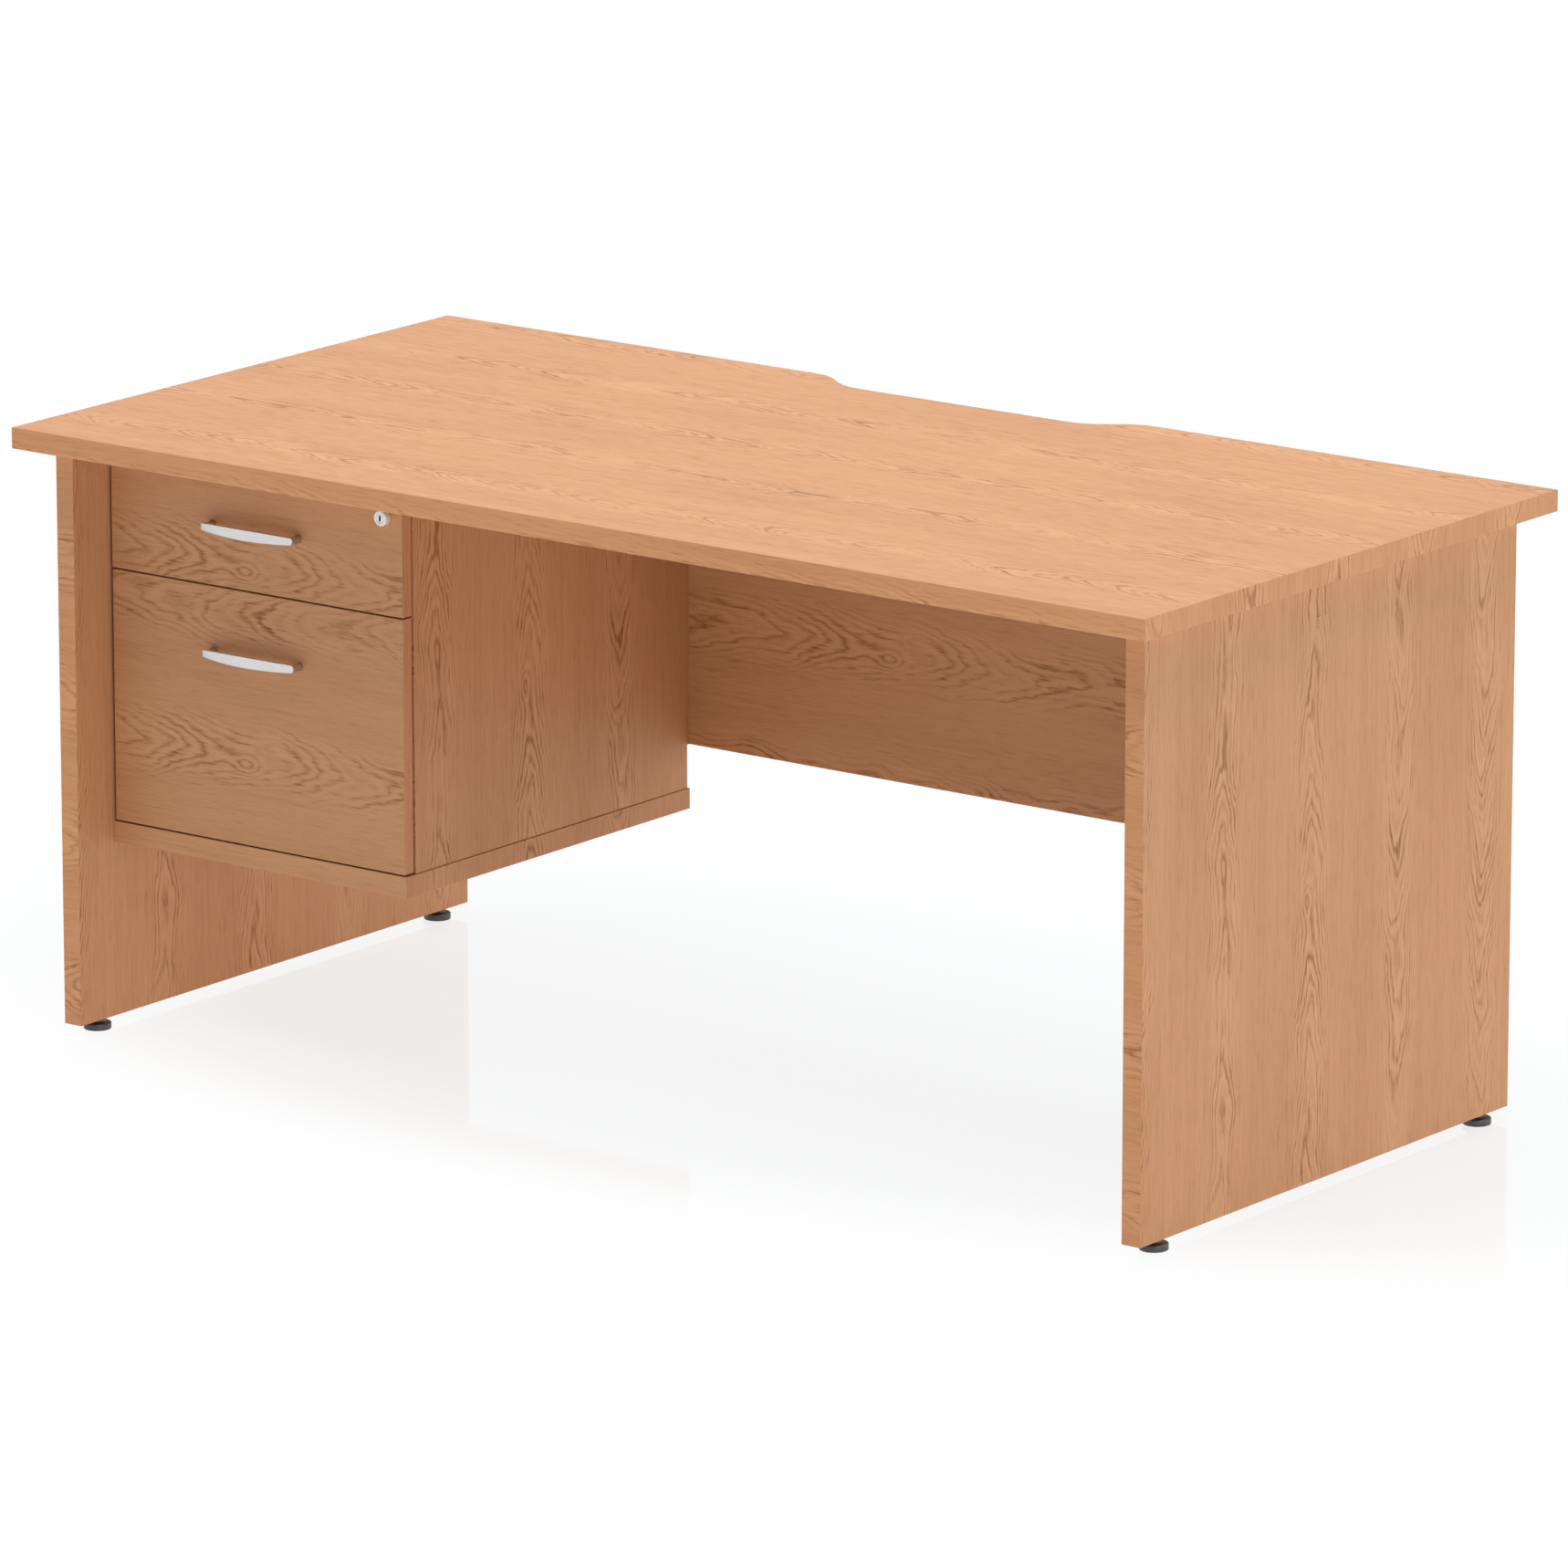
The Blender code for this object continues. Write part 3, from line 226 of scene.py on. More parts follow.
# where the knot of the print lies on each board's faces, in mm along the grain and across it;
# paintedHighlight and paintedEndHighlight: painted highlight, how much lighter the front-facing faces
# and the ends are drawn, in red, green and blue, for the light these edges catch
boardLayout = {
    "desktop": {"top": (-60.0, 43.0), "end": (337.0, -37.0), "front": (-300.0, 674.0),
                "paintedHighlight": (1.21, 1.17, 1.14), "paintedEndHighlight": (1.07, 1.05, 1.02)},
    "end_panel": {"top": (0.0, 43.0), "end": (337.0, -37.0), "front": (700.0, 400.0),
                  "paintedHighlight": (1.15, 1.1, 1.05)},
    "modesty_panel": {"top": (0.0, 43.0), "end": (337.0, -37.0), "front": (-14.0, 455.0)},
    "pedestal_side": {"top": (0.0, 43.0), "end": (430.0, -65.0), "front": (-541.0, 500.0)},
    "pedestal_board": {"top": (0.0, 10.0), "end": (300.0, -65.0), "front": (-420.0, 320.0),
                       "paintedHighlight": (1.06, 1.07, 1.08)},
    "upper_drawer_front": {"top": (0.0, 43.0), "end": (430.0, -65.0), "front": (-541.0, 583.0)},
    "lower_drawer_front": {"top": (0.0, 43.0), "end": (430.0, -65.0), "front": (-543.0, 355.0)},
}


def oakLaminate(name, layout):
    look = oakDecor
    material, tree, shader, place = startMaterial(name)
    coords = addNode(tree, "ShaderNodeTexCoord", {})
    facing = addNode(tree, vectorNode, {0: coords.outputs["Normal"]}, operation="ABSOLUTE")
    turned = addNode(tree, "ShaderNodeSeparateXYZ", {0: facing})
    onEnd, onFront = [addNode(tree, mathNode, {0: turned.outputs[axis], 1: look["faceTurn"]},
                              operation="GREATER_THAN") for axis in "XY"]

    # the print laid flat: X along the grain, Y across; upright on the ends, level elsewhere
    axes = addNode(tree, "ShaderNodeSeparateXYZ", {0: place})
    flat = {}
    for face, along, across in (("top", "X", "Y"), ("end", "Z", "Y"), ("front", "X", "Z")):
        laid = addNode(tree, "ShaderNodeCombineXYZ", {0: axes.outputs[along], 1: axes.outputs[across]})
        flat[face] = addNode(tree, vectorNode, {0: laid, 1: (*layout[face], 0.0)}, operation="SUBTRACT")
    notFront = addNode(tree, mixNode, {0: onEnd, 4: flat["top"], 5: flat["end"]}, data_type="VECTOR")
    sheet = addNode(tree, mixNode, {0: onFront, 4: notFront.outputs[1], 5: flat["front"]},
                    data_type="VECTOR")
    spot = addNode(tree, "ShaderNodeSeparateXYZ", {0: sheet.outputs[1]})
    along = spot.outputs["X"]

    # figure columns side by side, four kinds in turn
    cell = addNode(tree, mathNode, {0: spot.outputs["Y"], 1: look["pitch"]}, operation="DIVIDE")
    column = addNode(tree, mathNode, {0: cell}, operation="ROUND")
    columnMid = addNode(tree, mathNode, {0: column, 1: look["pitch"]}, operation="MULTIPLY")
    fromMid = addNode(tree, mathNode, {0: spot.outputs["Y"], 1: columnMid}, operation="SUBTRACT")
    kind = addNode(tree, mathNode, {0: column, 1: 4.0, 2: 0.0}, operation="WRAP")
    source = {"sheet": sheet.outputs[1],
              "column": addNode(tree, "ShaderNodeCombineXYZ", {0: along, 1: columnMid}).outputs[0]}
    noise = {}
    for order, (layer, (read, length, width, detail)) in enumerate(look["layers"].items()):
        stretch = addNode(tree, vectorNode, {0: source[read], 1: (1 / length, 1 / width, 0.0),
                                             2: (0.0, 0.0, look["noiseApart"] * order)},
                          operation="MULTIPLY_ADD")
        noise[layer] = addNode(tree, noiseNode, {"Vector": stretch, "Scale": 1.0, "Detail": detail,
                                                 "Roughness": look["noiseRoughness"]})

    def byFace(values):  # a number that depends on which way the face looks
        level = addNode(tree, mathNode, {0: onEnd, 1: values["end"] - values["top"], 2: values["top"]},
                        operation="MULTIPLY_ADD")
        return addNode(tree, mathNode, {0: onFront, 1: values["front"] - values["top"], 2: level},
                       operation="MULTIPLY_ADD")

    # growth rings: the heart climbs along the grain, the flanks rise away from it
    sway = addNode(tree, mathNode, {0: noise["wander"], 1: 2 * look["wander"], 2: -look["wander"]},
                   operation="MULTIPLY_ADD")
    fromHeart = addNode(tree, mathNode, {0: fromMid, 1: sway}, operation="ADD")
    away = addNode(tree, mathNode, {0: fromHeart}, operation="ABSOLUTE")
    kindPlace = addNode(tree, mathNode, {0: kind, 1: 0.25, 2: 0.125}, operation="MULTIPLY_ADD")
    lean = addNode(tree, rampNode, {0: kindPlace})
    setStops(lean, [(0.25 * i, 0.5 + value) for i, value in enumerate(look["lean"])], "CONSTANT")
    leanBy = addNode(tree, mathNode, {0: lean, 1: 0.5}, operation="SUBTRACT")
    climb = addNode(tree, mathNode, {0: leanBy, 1: along}, operation="MULTIPLY")
    plainHeart = addNode(tree, mathNode, {0: noise["heave"], 1: look["heave"], 2: climb},
                         operation="MULTIPLY_ADD")
    repeatAt = addNode(tree, mathNode, {0: along, 1: 1 / look["repeat"], 2: 0.5},
                       operation="MULTIPLY_ADD")
    repeatPart = addNode(tree, mathNode, {0: repeatAt}, operation="FRACT")
    heartPart = addNode(tree, rampNode, {0: repeatPart})
    setStops(heartPart, look["heart"], "B_SPLINE")
    knotHeart = addNode(tree, mathNode, {0: heartPart, 1: look["climb"]}, operation="MULTIPLY")
    knotKind = addNode(tree, mathNode, {0: kind, 1: 0.0, 2: 0.5}, operation="COMPARE")
    heart = addNode(tree, mixNode, {0: knotKind, 2: plainHeart, 3: knotHeart}, data_type="FLOAT")
    flank = addNode(tree, mathNode, {0: away, 1: look["flankHalf"]}, operation="DIVIDE")
    flankCurve = addNode(tree, mathNode, {0: flank, 1: look["archPoint"]}, operation="POWER")
    depth = addNode(tree, mathNode, {0: flankCurve, 1: byFace(look["flankRise"]), 2: heart},
                    operation="MULTIPLY_ADD")

    # one small knot beside the first kind's heart
    knot = look["knot"]
    knotFrom = addNode(tree, "ShaderNodeCombineXYZ", {0: along, 1: fromMid})
    knotScaled = addNode(tree, vectorNode, {0: knotFrom, 1: (1 / knot["length"], 1 / knot["width"], 0.0),
                                            2: (0.0, -knot["side"] / knot["width"], 0.0)},
                         operation="MULTIPLY_ADD")
    knotAway = addNode(tree, vectorNode, {0: knotScaled, 1: knotScaled}, operation="DOT_PRODUCT")
    knotFall = addNode(tree, mathNode, {0: knotAway.outputs["Value"], 1: -1.0}, operation="MULTIPLY")
    knotBump = addNode(tree, mathNode, {0: knotFall}, operation="EXPONENT")
    knotHere = addNode(tree, mathNode, {0: knotBump, 1: knotKind}, operation="MULTIPLY")
    knotted = addNode(tree, mathNode, {0: knotHere, 1: -knot["rise"], 2: depth},
                      operation="MULTIPLY_ADD")
    shake = addNode(tree, mathNode, {0: noise["waver"], 1: 2 * look["waver"], 2: -look["waver"]},
                    operation="MULTIPLY_ADD")
    wavy = addNode(tree, mathNode, {0: knotted, 1: shake}, operation="ADD")
    ringAt = addNode(tree, mathNode, {0: wavy, 1: look["ring"]}, operation="DIVIDE")
    ringPart = addNode(tree, mathNode, {0: ringAt}, operation="FRACT")
    ringEdge = addNode(tree, rampNode, {0: ringPart})
    setStops(ringEdge, look["ringEdge"], "EASE")
    ringCount = addNode(tree, mathNode, {0: ringAt}, operation="FLOOR")
    ringSpot = addNode(tree, "ShaderNodeCombineXYZ", {0: ringCount, 1: column, 2: look["ringSeed"]})
    ringPick = addNode(tree, "ShaderNodeTexWhiteNoise", {0: ringSpot})
    ringTone = addNode(tree, rangeNode, {"Value": ringPick, "To Min": look["ringFaint"], "To Max": 1.0})

    # the figure fades out towards the plain wood between the columns
    slim = addNode(tree, mathNode, {0: away, 1: byFace(look["narrow"])}, operation="MULTIPLY")
    frayed = addNode(tree, mathNode, {0: noise["fray"], 1: look["fray"], 2: slim},
                     operation="MULTIPLY_ADD")
    figure = addNode(tree, rangeNode, {"Value": frayed, "From Min": look["figureHalf"],
                                       "From Max": look["figureFade"], "To Min": 1.0,
                                       "To Max": look["plainFigure"]}, interpolation_type="SMOOTHSTEP")
    patch = addNode(tree, rangeNode, {"Value": noise["patch"], "From Min": look["patchRange"][0],
                                      "From Max": look["patchRange"][1],
                                      "To Min": look["patchFaint"], "To Max": 1.0})
    ringShown = addNode(tree, mathNode, {0: figure, 1: ringTone}, operation="MULTIPLY")
    ringPatched = addNode(tree, mathNode, {0: ringShown, 1: patch}, operation="MULTIPLY")
    ringDark = addNode(tree, mathNode, {0: ringEdge, 1: ringPatched}, operation="MULTIPLY")
    pores = addNode(tree, rangeNode, {"Value": noise["pore"], "From Min": look["poreRange"][0],
                                      "From Max": look["poreRange"][1]})
    poreDark = addNode(tree, mathNode, {0: ringDark, 1: look["poreInRing"], 2: look["poreShade"]},
                       operation="MULTIPLY_ADD")
    poreBy = addNode(tree, mathNode, {0: pores, 1: poreDark}, operation="MULTIPLY")

    tone = addNode(tree, mathNode, {0: ringDark, 1: -look["figureShade"]}, operation="MULTIPLY")
    tone = addNode(tree, mathNode, {0: figure, 1: look["figureGlow"], 2: tone}, operation="MULTIPLY_ADD")
    tone = addNode(tree, mathNode, {0: tone, 1: poreBy}, operation="SUBTRACT")
    for layer in ("streak", "cloud"):
        shade = addNode(tree, mathNode, {0: noise[layer], 1: 0.5}, operation="SUBTRACT")
        tone = addNode(tree, mathNode, {0: shade, 1: look[layer + "Shade"], 2: tone},
                       operation="MULTIPLY_ADD")
    tone = addNode(tree, mathNode, {0: tone, 1: byFace(look["contrast"]), 2: look["level"]},
                   operation="MULTIPLY_ADD")
    colour = addNode(tree, rampNode, {0: tone})
    setStops(colour, look["colours"])
    # painted highlight: front-facing and end faces drawn lighter for the light the edges catch
    for face, highlightKey in ((onFront, "paintedHighlight"), (onEnd, "paintedEndHighlight")):
        if highlightKey in layout:
            paintedHighlight = addNode(tree, mixNode, {0: face, 4: (1.0, 1.0, 1.0), 5: layout[highlightKey]},
                           data_type="VECTOR")
            colour = addNode(tree, vectorNode, {0: colour, 1: paintedHighlight.outputs[1]}, operation="MULTIPLY")
    tree.links.new(colour.outputs[0], shader.inputs["Base Color"])
    gloss = addNode(tree, rangeNode, {"Value": noise["pore"], "From Min": look["glossRange"][0],
                                      "From Max": look["glossRange"][1],
                                      "To Min": look["roughness"][0], "To Max": look["roughness"][1]})
    tree.links.new(gloss.outputs[0], shader.inputs["Roughness"])
    press = addNode(tree, "ShaderNodeBump", {"Height": pores, "Distance": look["poreDepth"],
                                             "Strength": look["press"]}, invert=True)
    tree.links.new(press.outputs[0], shader.inputs["Normal"])
    # the press texture holds the sheen down
    shader.inputs["Specular IOR Level"].default_value = look["specular"]
    return material


# metals: colour, roughness from worn to fresh, and the grain of the finish in mm along X, Y and Z
metalFinish = {
    "satinAluminium": {"colours": ("#D0D0CF", "#DFDFDE"), "roughness": (0.32, 0.42),
                       "grain": (40.0, 1.2, 1.2), "depth": 0.000006},  # finely brushed along the bar
    "polishedPost": {"colours": ("#B9BABB", "#CFD0D1"), "roughness": (0.10, 0.18),
                     "grain": (4.0, 4.0, 4.0), "depth": 0.0},  # turned bright, mirrors the oak
    "nickelPlate": {"colours": ("#E2E2E0", "#EFEFED"), "roughness": (0.40, 0.50), "metallic": 0.5,
                    "grain": (3.0, 3.0, 3.0), "depth": 0.0},  # blasted and lacquered plate, near white
    "waferZincAndShade": {"colours": ("#5C5A5E", "#706E73"), "roughness": (0.50, 0.60),
                 "grain": (1.0, 1.0, 1.0), "depth": 0.0},  # wafers inside the keyway, dark grey, drawn darker than their metal as painted shade in the slot
    "zincSteel": {"colours": ("#A9AEB3", "#C9CDD0"), "roughness": (0.26, 0.44),
                  "grain": (9.0, 14.0, 9.0), "depth": 0.00001},  # bright zinc, cool and cloudy
}

# plastics and wrapped boards: two tones, roughness, grit or grain in mm along X, Y and Z
dullFinish = {
    "mouldedNylon": {"colours": ("#3F3E40", "#4C4B4D"), "roughness": (0.34, 0.46),
                     "grain": (0.9, 0.9, 0.9), "depth": 0.00004},  # dark grey, fine moulded grit
    "wrappedBoard": {"colours": ("#C6C6C3", "#D2D2D0"), "roughness": (0.42, 0.52),
                     "grain": (3.0, 60.0, 2.0), "depth": 0.00002},  # pale grey foil, faint lines
    "whiteHardboard": {"colours": ("#D9D8D3", "#E4E3DF"), "roughness": (0.55, 0.66),
                       "grain": (7.0, 7.0, 7.0), "depth": 0.00003},  # painted fibre, soft mottle
    "capPlastic": {"colours": ("#B98A63", "#C79871"), "roughness": (0.40, 0.50),
                   "grain": (1.2, 1.2, 1.2), "depth": 0.00002},  # oak-brown cover caps
}

# how the grain is drawn: part of the noise in use, its detail, and how strongly its relief shows
grainDraw = {"range": (0.3, 0.7), "roughness": 0.6, "detail": {"metal": 4.0, "dull": 3.0},
             "relief": {"metal": 0.4, "dull": 0.5}, "metallic": {"metal": 1.0, "dull": 0.0}}


def grainedFinish(name, look, kind):
    material, tree, shader, place = startMaterial(name)
    stretch = addNode(tree, vectorNode, {0: place, 1: [1 / size for size in look["grain"]]},
                      operation="MULTIPLY")
    grain = addNode(tree, noiseNode, {"Vector": stretch, "Scale": 1.0,
                                      "Detail": grainDraw["detail"][kind],
                                      "Roughness": grainDraw["roughness"]})
    colour = addNode(tree, rampNode, {0: grain})
    setStops(colour, list(zip(grainDraw["range"], look["colours"])))
    tree.links.new(colour.outputs[0], shader.inputs["Base Color"])
    low, high = grainDraw["range"]
    rough = addNode(tree, rangeNode, {"Value": grain, "From Min": low, "From Max": high,
                                      "To Min": look["roughness"][0], "To Max": look["roughness"][1]})
    tree.links.new(rough.outputs[0], shader.inputs["Roughness"])
    shader.inputs["Metallic"].default_value = look.get("metallic", grainDraw["metallic"][kind])
    if look["depth"]:
        relief = addNode(tree, "ShaderNodeBump", {"Height": grain, "Distance": look["depth"],
                                                  "Strength": grainDraw["relief"][kind]})
        tree.links.new(relief.outputs[0], shader.inputs["Normal"])
    return material


finish = {name: grainedFinish(name, look, "metal") for name, look in metalFinish.items()}
finish.update({name: grainedFinish(name, look, "dull") for name, look in dullFinish.items()})
oak = {name: oakLaminate("oak_" + name, layout) for name, layout in boardLayout.items()}
slotFinish = {"satin_aluminium": "satinAluminium", "nickel_plate": "nickelPlate",
              "zinc_steel": "zincSteel", "grey_plastic": "mouldedNylon",
              "wrapped_board": "wrappedBoard", "hardboard": "whiteHardboard"}
oakOf = {"left_end_panel": "end_panel", "right_end_panel": "end_panel",
         "pedestal_left_side": "pedestal_side", "pedestal_right_side": "pedestal_side",
         "pedestal_base": "pedestal_board", "pedestal_back": "pedestal_board",
         "pedestal_top": "pedestal_board"}
# ABS edge band, trimmed with a small radius wherever two faces meet at more than the angle
boardEdge = {"width": 0.0006, "segments": 2, "angle": 50, "weld": 0.00001}

for name, node in nodes.items():
    slot = slotOf[name]
    material = oak[oakOf.get(name, name)] if slot == "oak_board" else finish[slotFinish[slot]]
    node.data.materials.clear()
    node.data.materials.append(material)
    if slot in ("oak_board", "wrapped_board"):
        weld = node.modifiers.new("weld", "WELD")
        weld.merge_threshold = boardEdge["weld"]
        edge = node.modifiers.new("edgeBand", "BEVEL")
        edge.width = boardEdge["width"]
        edge.segments = boardEdge["segments"]
        edge.limit_method = "ANGLE"
        edge.angle_limit = math.radians(boardEdge["angle"])
print("materials on", len(nodes), "CAD pieces")


def turnPart(bm, profile, place, steps, towardsFront=False, closed=False, finishIndex=0):
    # profile: radius, distance along the axis; the axis points up, or out of the drawer front
    rings = []
    for radius, along in profile:
        ring = []
        for step in range(steps if radius > 0 else 1):
            angle = 2 * math.pi * step / steps
            side, other = radius * math.cos(angle), radius * math.sin(angle)
            offset = (side, -along, other) if towardsFront else (side, other, along)
            ring.append(bm.verts.new(Vector(place) + Vector(offset)))
        rings.append(ring)
    pairs = list(zip(rings, rings[1:] + rings[:1])) if closed else list(zip(rings, rings[1:]))
    for first, second in pairs:
        for step in range(steps):
            corners = []
            for ring, index in ((first, step), (first, step + 1), (second, step + 1), (second, step)):
                vertex = ring[index % len(ring)]
                if vertex not in corners:
                    corners.append(vertex)
            if len(corners) > 2:
                bm.faces.new(corners).material_index = finishIndex


def bridgeLoops(bm, loops, finishIndex=0):  # walls from loop to loop, and a cap on both ends
    for first, second in zip(loops, loops[1:]):
        for index in range(len(first)):
            after = (index + 1) % len(first)
            wall = bm.faces.new((first[index], first[after], second[after], second[index]))
            wall.material_index = finishIndex
    for loop in (loops[0], loops[-1]):
        bm.faces.new(loop).material_index = finishIndex


def meshFrom(bm, name, sharp=35):
    bmesh.ops.recalc_face_normals(bm, faces=bm.faces)
    mesh = bpy.data.meshes.new(name)
    bm.to_mesh(mesh)
    bm.free()
    mesh.shade_smooth()
    mesh.set_sharp_from_angle(angle=math.radians(sharp))
    return mesh


def addPiece(name, mesh, materials, body, slot, *replaced):
    for material in materials:
        mesh.materials.append(material)
    piece = bpy.data.objects.new(name, mesh)
    scene.collection.objects.link(piece)
    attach(piece, body)
    if replaced:
        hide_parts(*replaced)


# packing strip: fills the fitting gap between the pedestal's right side and the modesty panel
packingStrip = {"clear": 0.0002}
sideLow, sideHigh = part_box("pedestal_right_side")
modestyLow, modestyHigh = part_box("modesty_panel")
stripLow = Vector((sideLow.x, sideHigh.y + packingStrip["clear"], modestyLow.z))
stripHigh = Vector((sideHigh.x, modestyLow.y - packingStrip["clear"], sideHigh.z))
bm = bmesh.new()
bmesh.ops.create_cube(bm, size=1.0, matrix=Matrix.Translation((stripLow + stripHigh) / 2)
                      @ Matrix.Diagonal((stripHigh - stripLow).to_4d()))
addPiece("packingStrip", meshFrom(bm, "packingStrip"), (oak["pedestal_side"],), "desk", "oak_board")
print("packing strip made")

drawerFace = -0.294  # front plane of both drawer fronts

# bow handles: a flat bar that swells and bows out in its middle, on two turned posts
bowHandle = {"middle": -0.5247, "length": 0.136, "standOff": 0.025, "bow": 0.0077, "thick": 0.005,
             "midHeight": 0.0132, "endHeight": 0.0088, "corner": 0.003, "edge": 0.0011, "tipDrop": 0.4,
             "roundest": 0.95, "postSpacing": 0.128, "postRadius": 0.004, "postShort": 0.001,
             "footRadius": 0.005, "footRim": 0.0004, "seat": 0.0003, "stations": 96, "sectionSteps": 6,
             "waistSteps": 8, "postSteps": 40}


def bowHandleMesh(name, height):
    look = bowHandle
    halfLength = look["length"] / 2
    bm = bmesh.new()
    loops = []
    for station in range(look["stations"] + 1):
        x = halfLength * math.sin(math.pi * (station / look["stations"] - 0.5))
        part = x / halfLength
        # rounded corners seen from the front, rounded edges all round
        corner = max(abs(x) - halfLength + look["corner"], 0.0)
        tip = min(max(abs(x) - halfLength + look["edge"], 0.0) / look["edge"], 1.0)
        pulledIn = look["edge"] * (1 - math.sqrt(1 - tip * tip))
        high = look["endHeight"] / 2 + (look["midHeight"] - look["endHeight"]) / 2 * (1 - part * part)
        high += math.sqrt(max(look["corner"] ** 2 - corner ** 2, 0.0)) - look["corner"]
        high -= look["tipDrop"] * pulledIn
        deep = look["thick"] / 2 - pulledIn
        radius = min(look["edge"], look["roundest"] * high, look["roundest"] * deep)
        slope = 4 * look["bow"] * part / look["length"]
        inward = Vector((-slope, 1.0, 0.0)).normalized()
        face = Vector((x, look["bow"] * part * part - look["standOff"], 0.0))
        middle = face + inward * look["thick"] / 2
        loop = []
        for cornerAt, (up, back) in enumerate(((1, -1), (1, 1), (-1, 1), (-1, -1))):
            for step in range(look["sectionSteps"] + 1):
                angle = math.pi / 2 * (cornerAt + step / look["sectionSteps"])
                rise = up * (high - radius) + radius * math.sin(angle)
                sink = back * (deep - radius) - radius * math.cos(angle)
                loop.append(bm.verts.new(middle + inward * sink + Vector((0.0, 0.0, rise))))
        loops.append(loop)
    bridgeLoops(bm, loops)
    bowAtPost = look["bow"] * (look["postSpacing"] / look["length"]) ** 2
    reach = look["standOff"] - bowAtPost - look["thick"] / 2 - look["postShort"]
    foot, post, seat, rim = look["footRadius"], look["postRadius"], look["seat"], look["footRim"]
    profile = [(0.0, seat), (foot - rim, seat), (foot, seat + rim)]
    for step in range(1, look["waistSteps"] + 1):  # slim waist between the flared foot and the bar
        along = step / look["waistSteps"]
        profile.append((post + (foot - post) * (1 - along) ** 2, seat + rim + reach * along))
    profile.append((0.0, profile[-1][1]))
    for side in (-0.5, 0.5):
        turnPart(bm, profile, (side * look["postSpacing"], 0.0, 0.0), look["postSteps"],
                 towardsFront=True, finishIndex=1)
    bmesh.ops.translate(bm, verts=bm.verts, vec=(look["middle"], drawerFace, height))
    return meshFrom(bm, name)


for drawer in ("upper", "lower"):
    low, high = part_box(drawer + "_drawer_handle")
    handleMesh = bowHandleMesh(drawer + "BowHandle", (low.z + high.z) / 2)
    addPiece(drawer + "BowHandle", handleMesh, (finish["satinAluminium"], finish["polishedPost"]),
             drawer + "_drawer", "satin_aluminium", drawer + "_drawer_handle")
print("bow handles made")

# levelling feet: a moulded pad with rounded rims, a hollow sole and a smooth collar, on a threaded stud
levellingFoot = {"padRadius": 0.0164, "padHeight": 0.0078, "topRim": 0.0016, "bottomRim": 0.0009,
                 "hollow": 0.0006, "hollowShare": (0.55, 0.58), "neckRadius": 0.007, "neckTop": 0.0112,
                 "neckFillet": [(0.0022, -0.0002), (0.0006, 0.0003), (0.0, 0.0011)],  # out, up
                 "neckChamfer": 0.0004, "studRadius": 0.0039, "studTop": 0.0312, "studSunk": 0.001,
                 "threadPitch": 0.00125, "threadDepth": 0.0006, "leadIn": 1.2,
                 "threadRows": 12, "threadSteps": 24, "steps": 64}


def footMesh(name, x, y):
    look = levellingFoot
    bm = bmesh.new()
    radius, height = look["padRadius"], look["padHeight"]
    bottomRim, topRim = look["bottomRim"], look["topRim"]
    hollowIn, hollowOut = [radius * share for share in look["hollowShare"]]
    profile = [(0.0, look["hollow"]), (hollowIn, look["hollow"]), (hollowOut, 0.0),
               (radius - bottomRim, 0.0)]
    for rim, middle, start in ((bottomRim, bottomRim, -90), (topRim, height - topRim, 0)):
        for step in range(1 if start else 0, 7):  # a quarter round in steps of 15 degrees
            angle = math.radians(start + 15 * step)
            profile.append((radius - rim + rim * math.cos(angle), middle + rim * math.sin(angle)))
    neck, neckTop, chamfer = look["neckRadius"], look["neckTop"], look["neckChamfer"]
    profile += [(neck + out, height + up) for out, up in look["neckFillet"]]
    profile += [(neck, neckTop - chamfer), (neck - chamfer, neckTop), (0.0, neckTop)]
    turnPart(bm, profile, (x, y, 0.0), look["steps"])
    # rolled thread: the radius follows the turn and the height together
    rows, around = look["threadRows"], look["threadSteps"]
    studFoot = neckTop - look["studSunk"]
    turns = (look["studTop"] - studFoot) / look["threadPitch"]
    thread = []
    for row in range(int(turns * rows) + 1):
        up = row / rows
        taper = max(0.0, 1 - (turns - up) / look["leadIn"])
        ring = []
        for step in range(around):
            phase = (up - step / around) % 1.0
            cut = look["threadDepth"] * (1 - abs(2 * phase - 1))
            out = look["studRadius"] - cut - look["threadDepth"] * taper
            angle = 2 * math.pi * step / around
            ring.append(bm.verts.new((x + out * math.cos(angle), y + out * math.sin(angle),
                                      studFoot + up * look["threadPitch"])))
        thread.append(ring)
    bridgeLoops(bm, thread, finishIndex=1)
    return meshFrom(bm, name, 50)


for corner in ("front_left", "front_right", "rear_left", "rear_right"):
    low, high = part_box(corner + "_foot")
    footPiece = footMesh(corner + "LevellingFoot", (low.x + high.x) / 2, (low.y + high.y) / 2)
    addPiece(corner + "LevellingFoot", footPiece, (finish["mouldedNylon"], finish["zincSteel"]),
             corner + "_foot", "grey_plastic", corner + "_foot")
print("levelling feet made")

# cam lock: a stepped barrel ring, and the plug with its keyway and square tail
camLock = {"radius": 0.0091, "chamfer": 0.0012, "bore": 0.0055, "shank": 0.007, "face": 0.0087,
           "seat": 0.0003, "ease": 0.0003, "groove": 0.0074, "grooveWidth": 0.0004,
           "grooveDepth": 0.0002, "plugRadius": 0.0054, "plugSunk": 0.0002, "plugChamfer": 0.0004,
           "keyway": (0.0026, 0.0082), "keyDepth": 0.010, "keyOver": 0.002, "keyRound": 0.35,
           "tail": 0.004, "tailSunk": 0.001, "steps": 72}


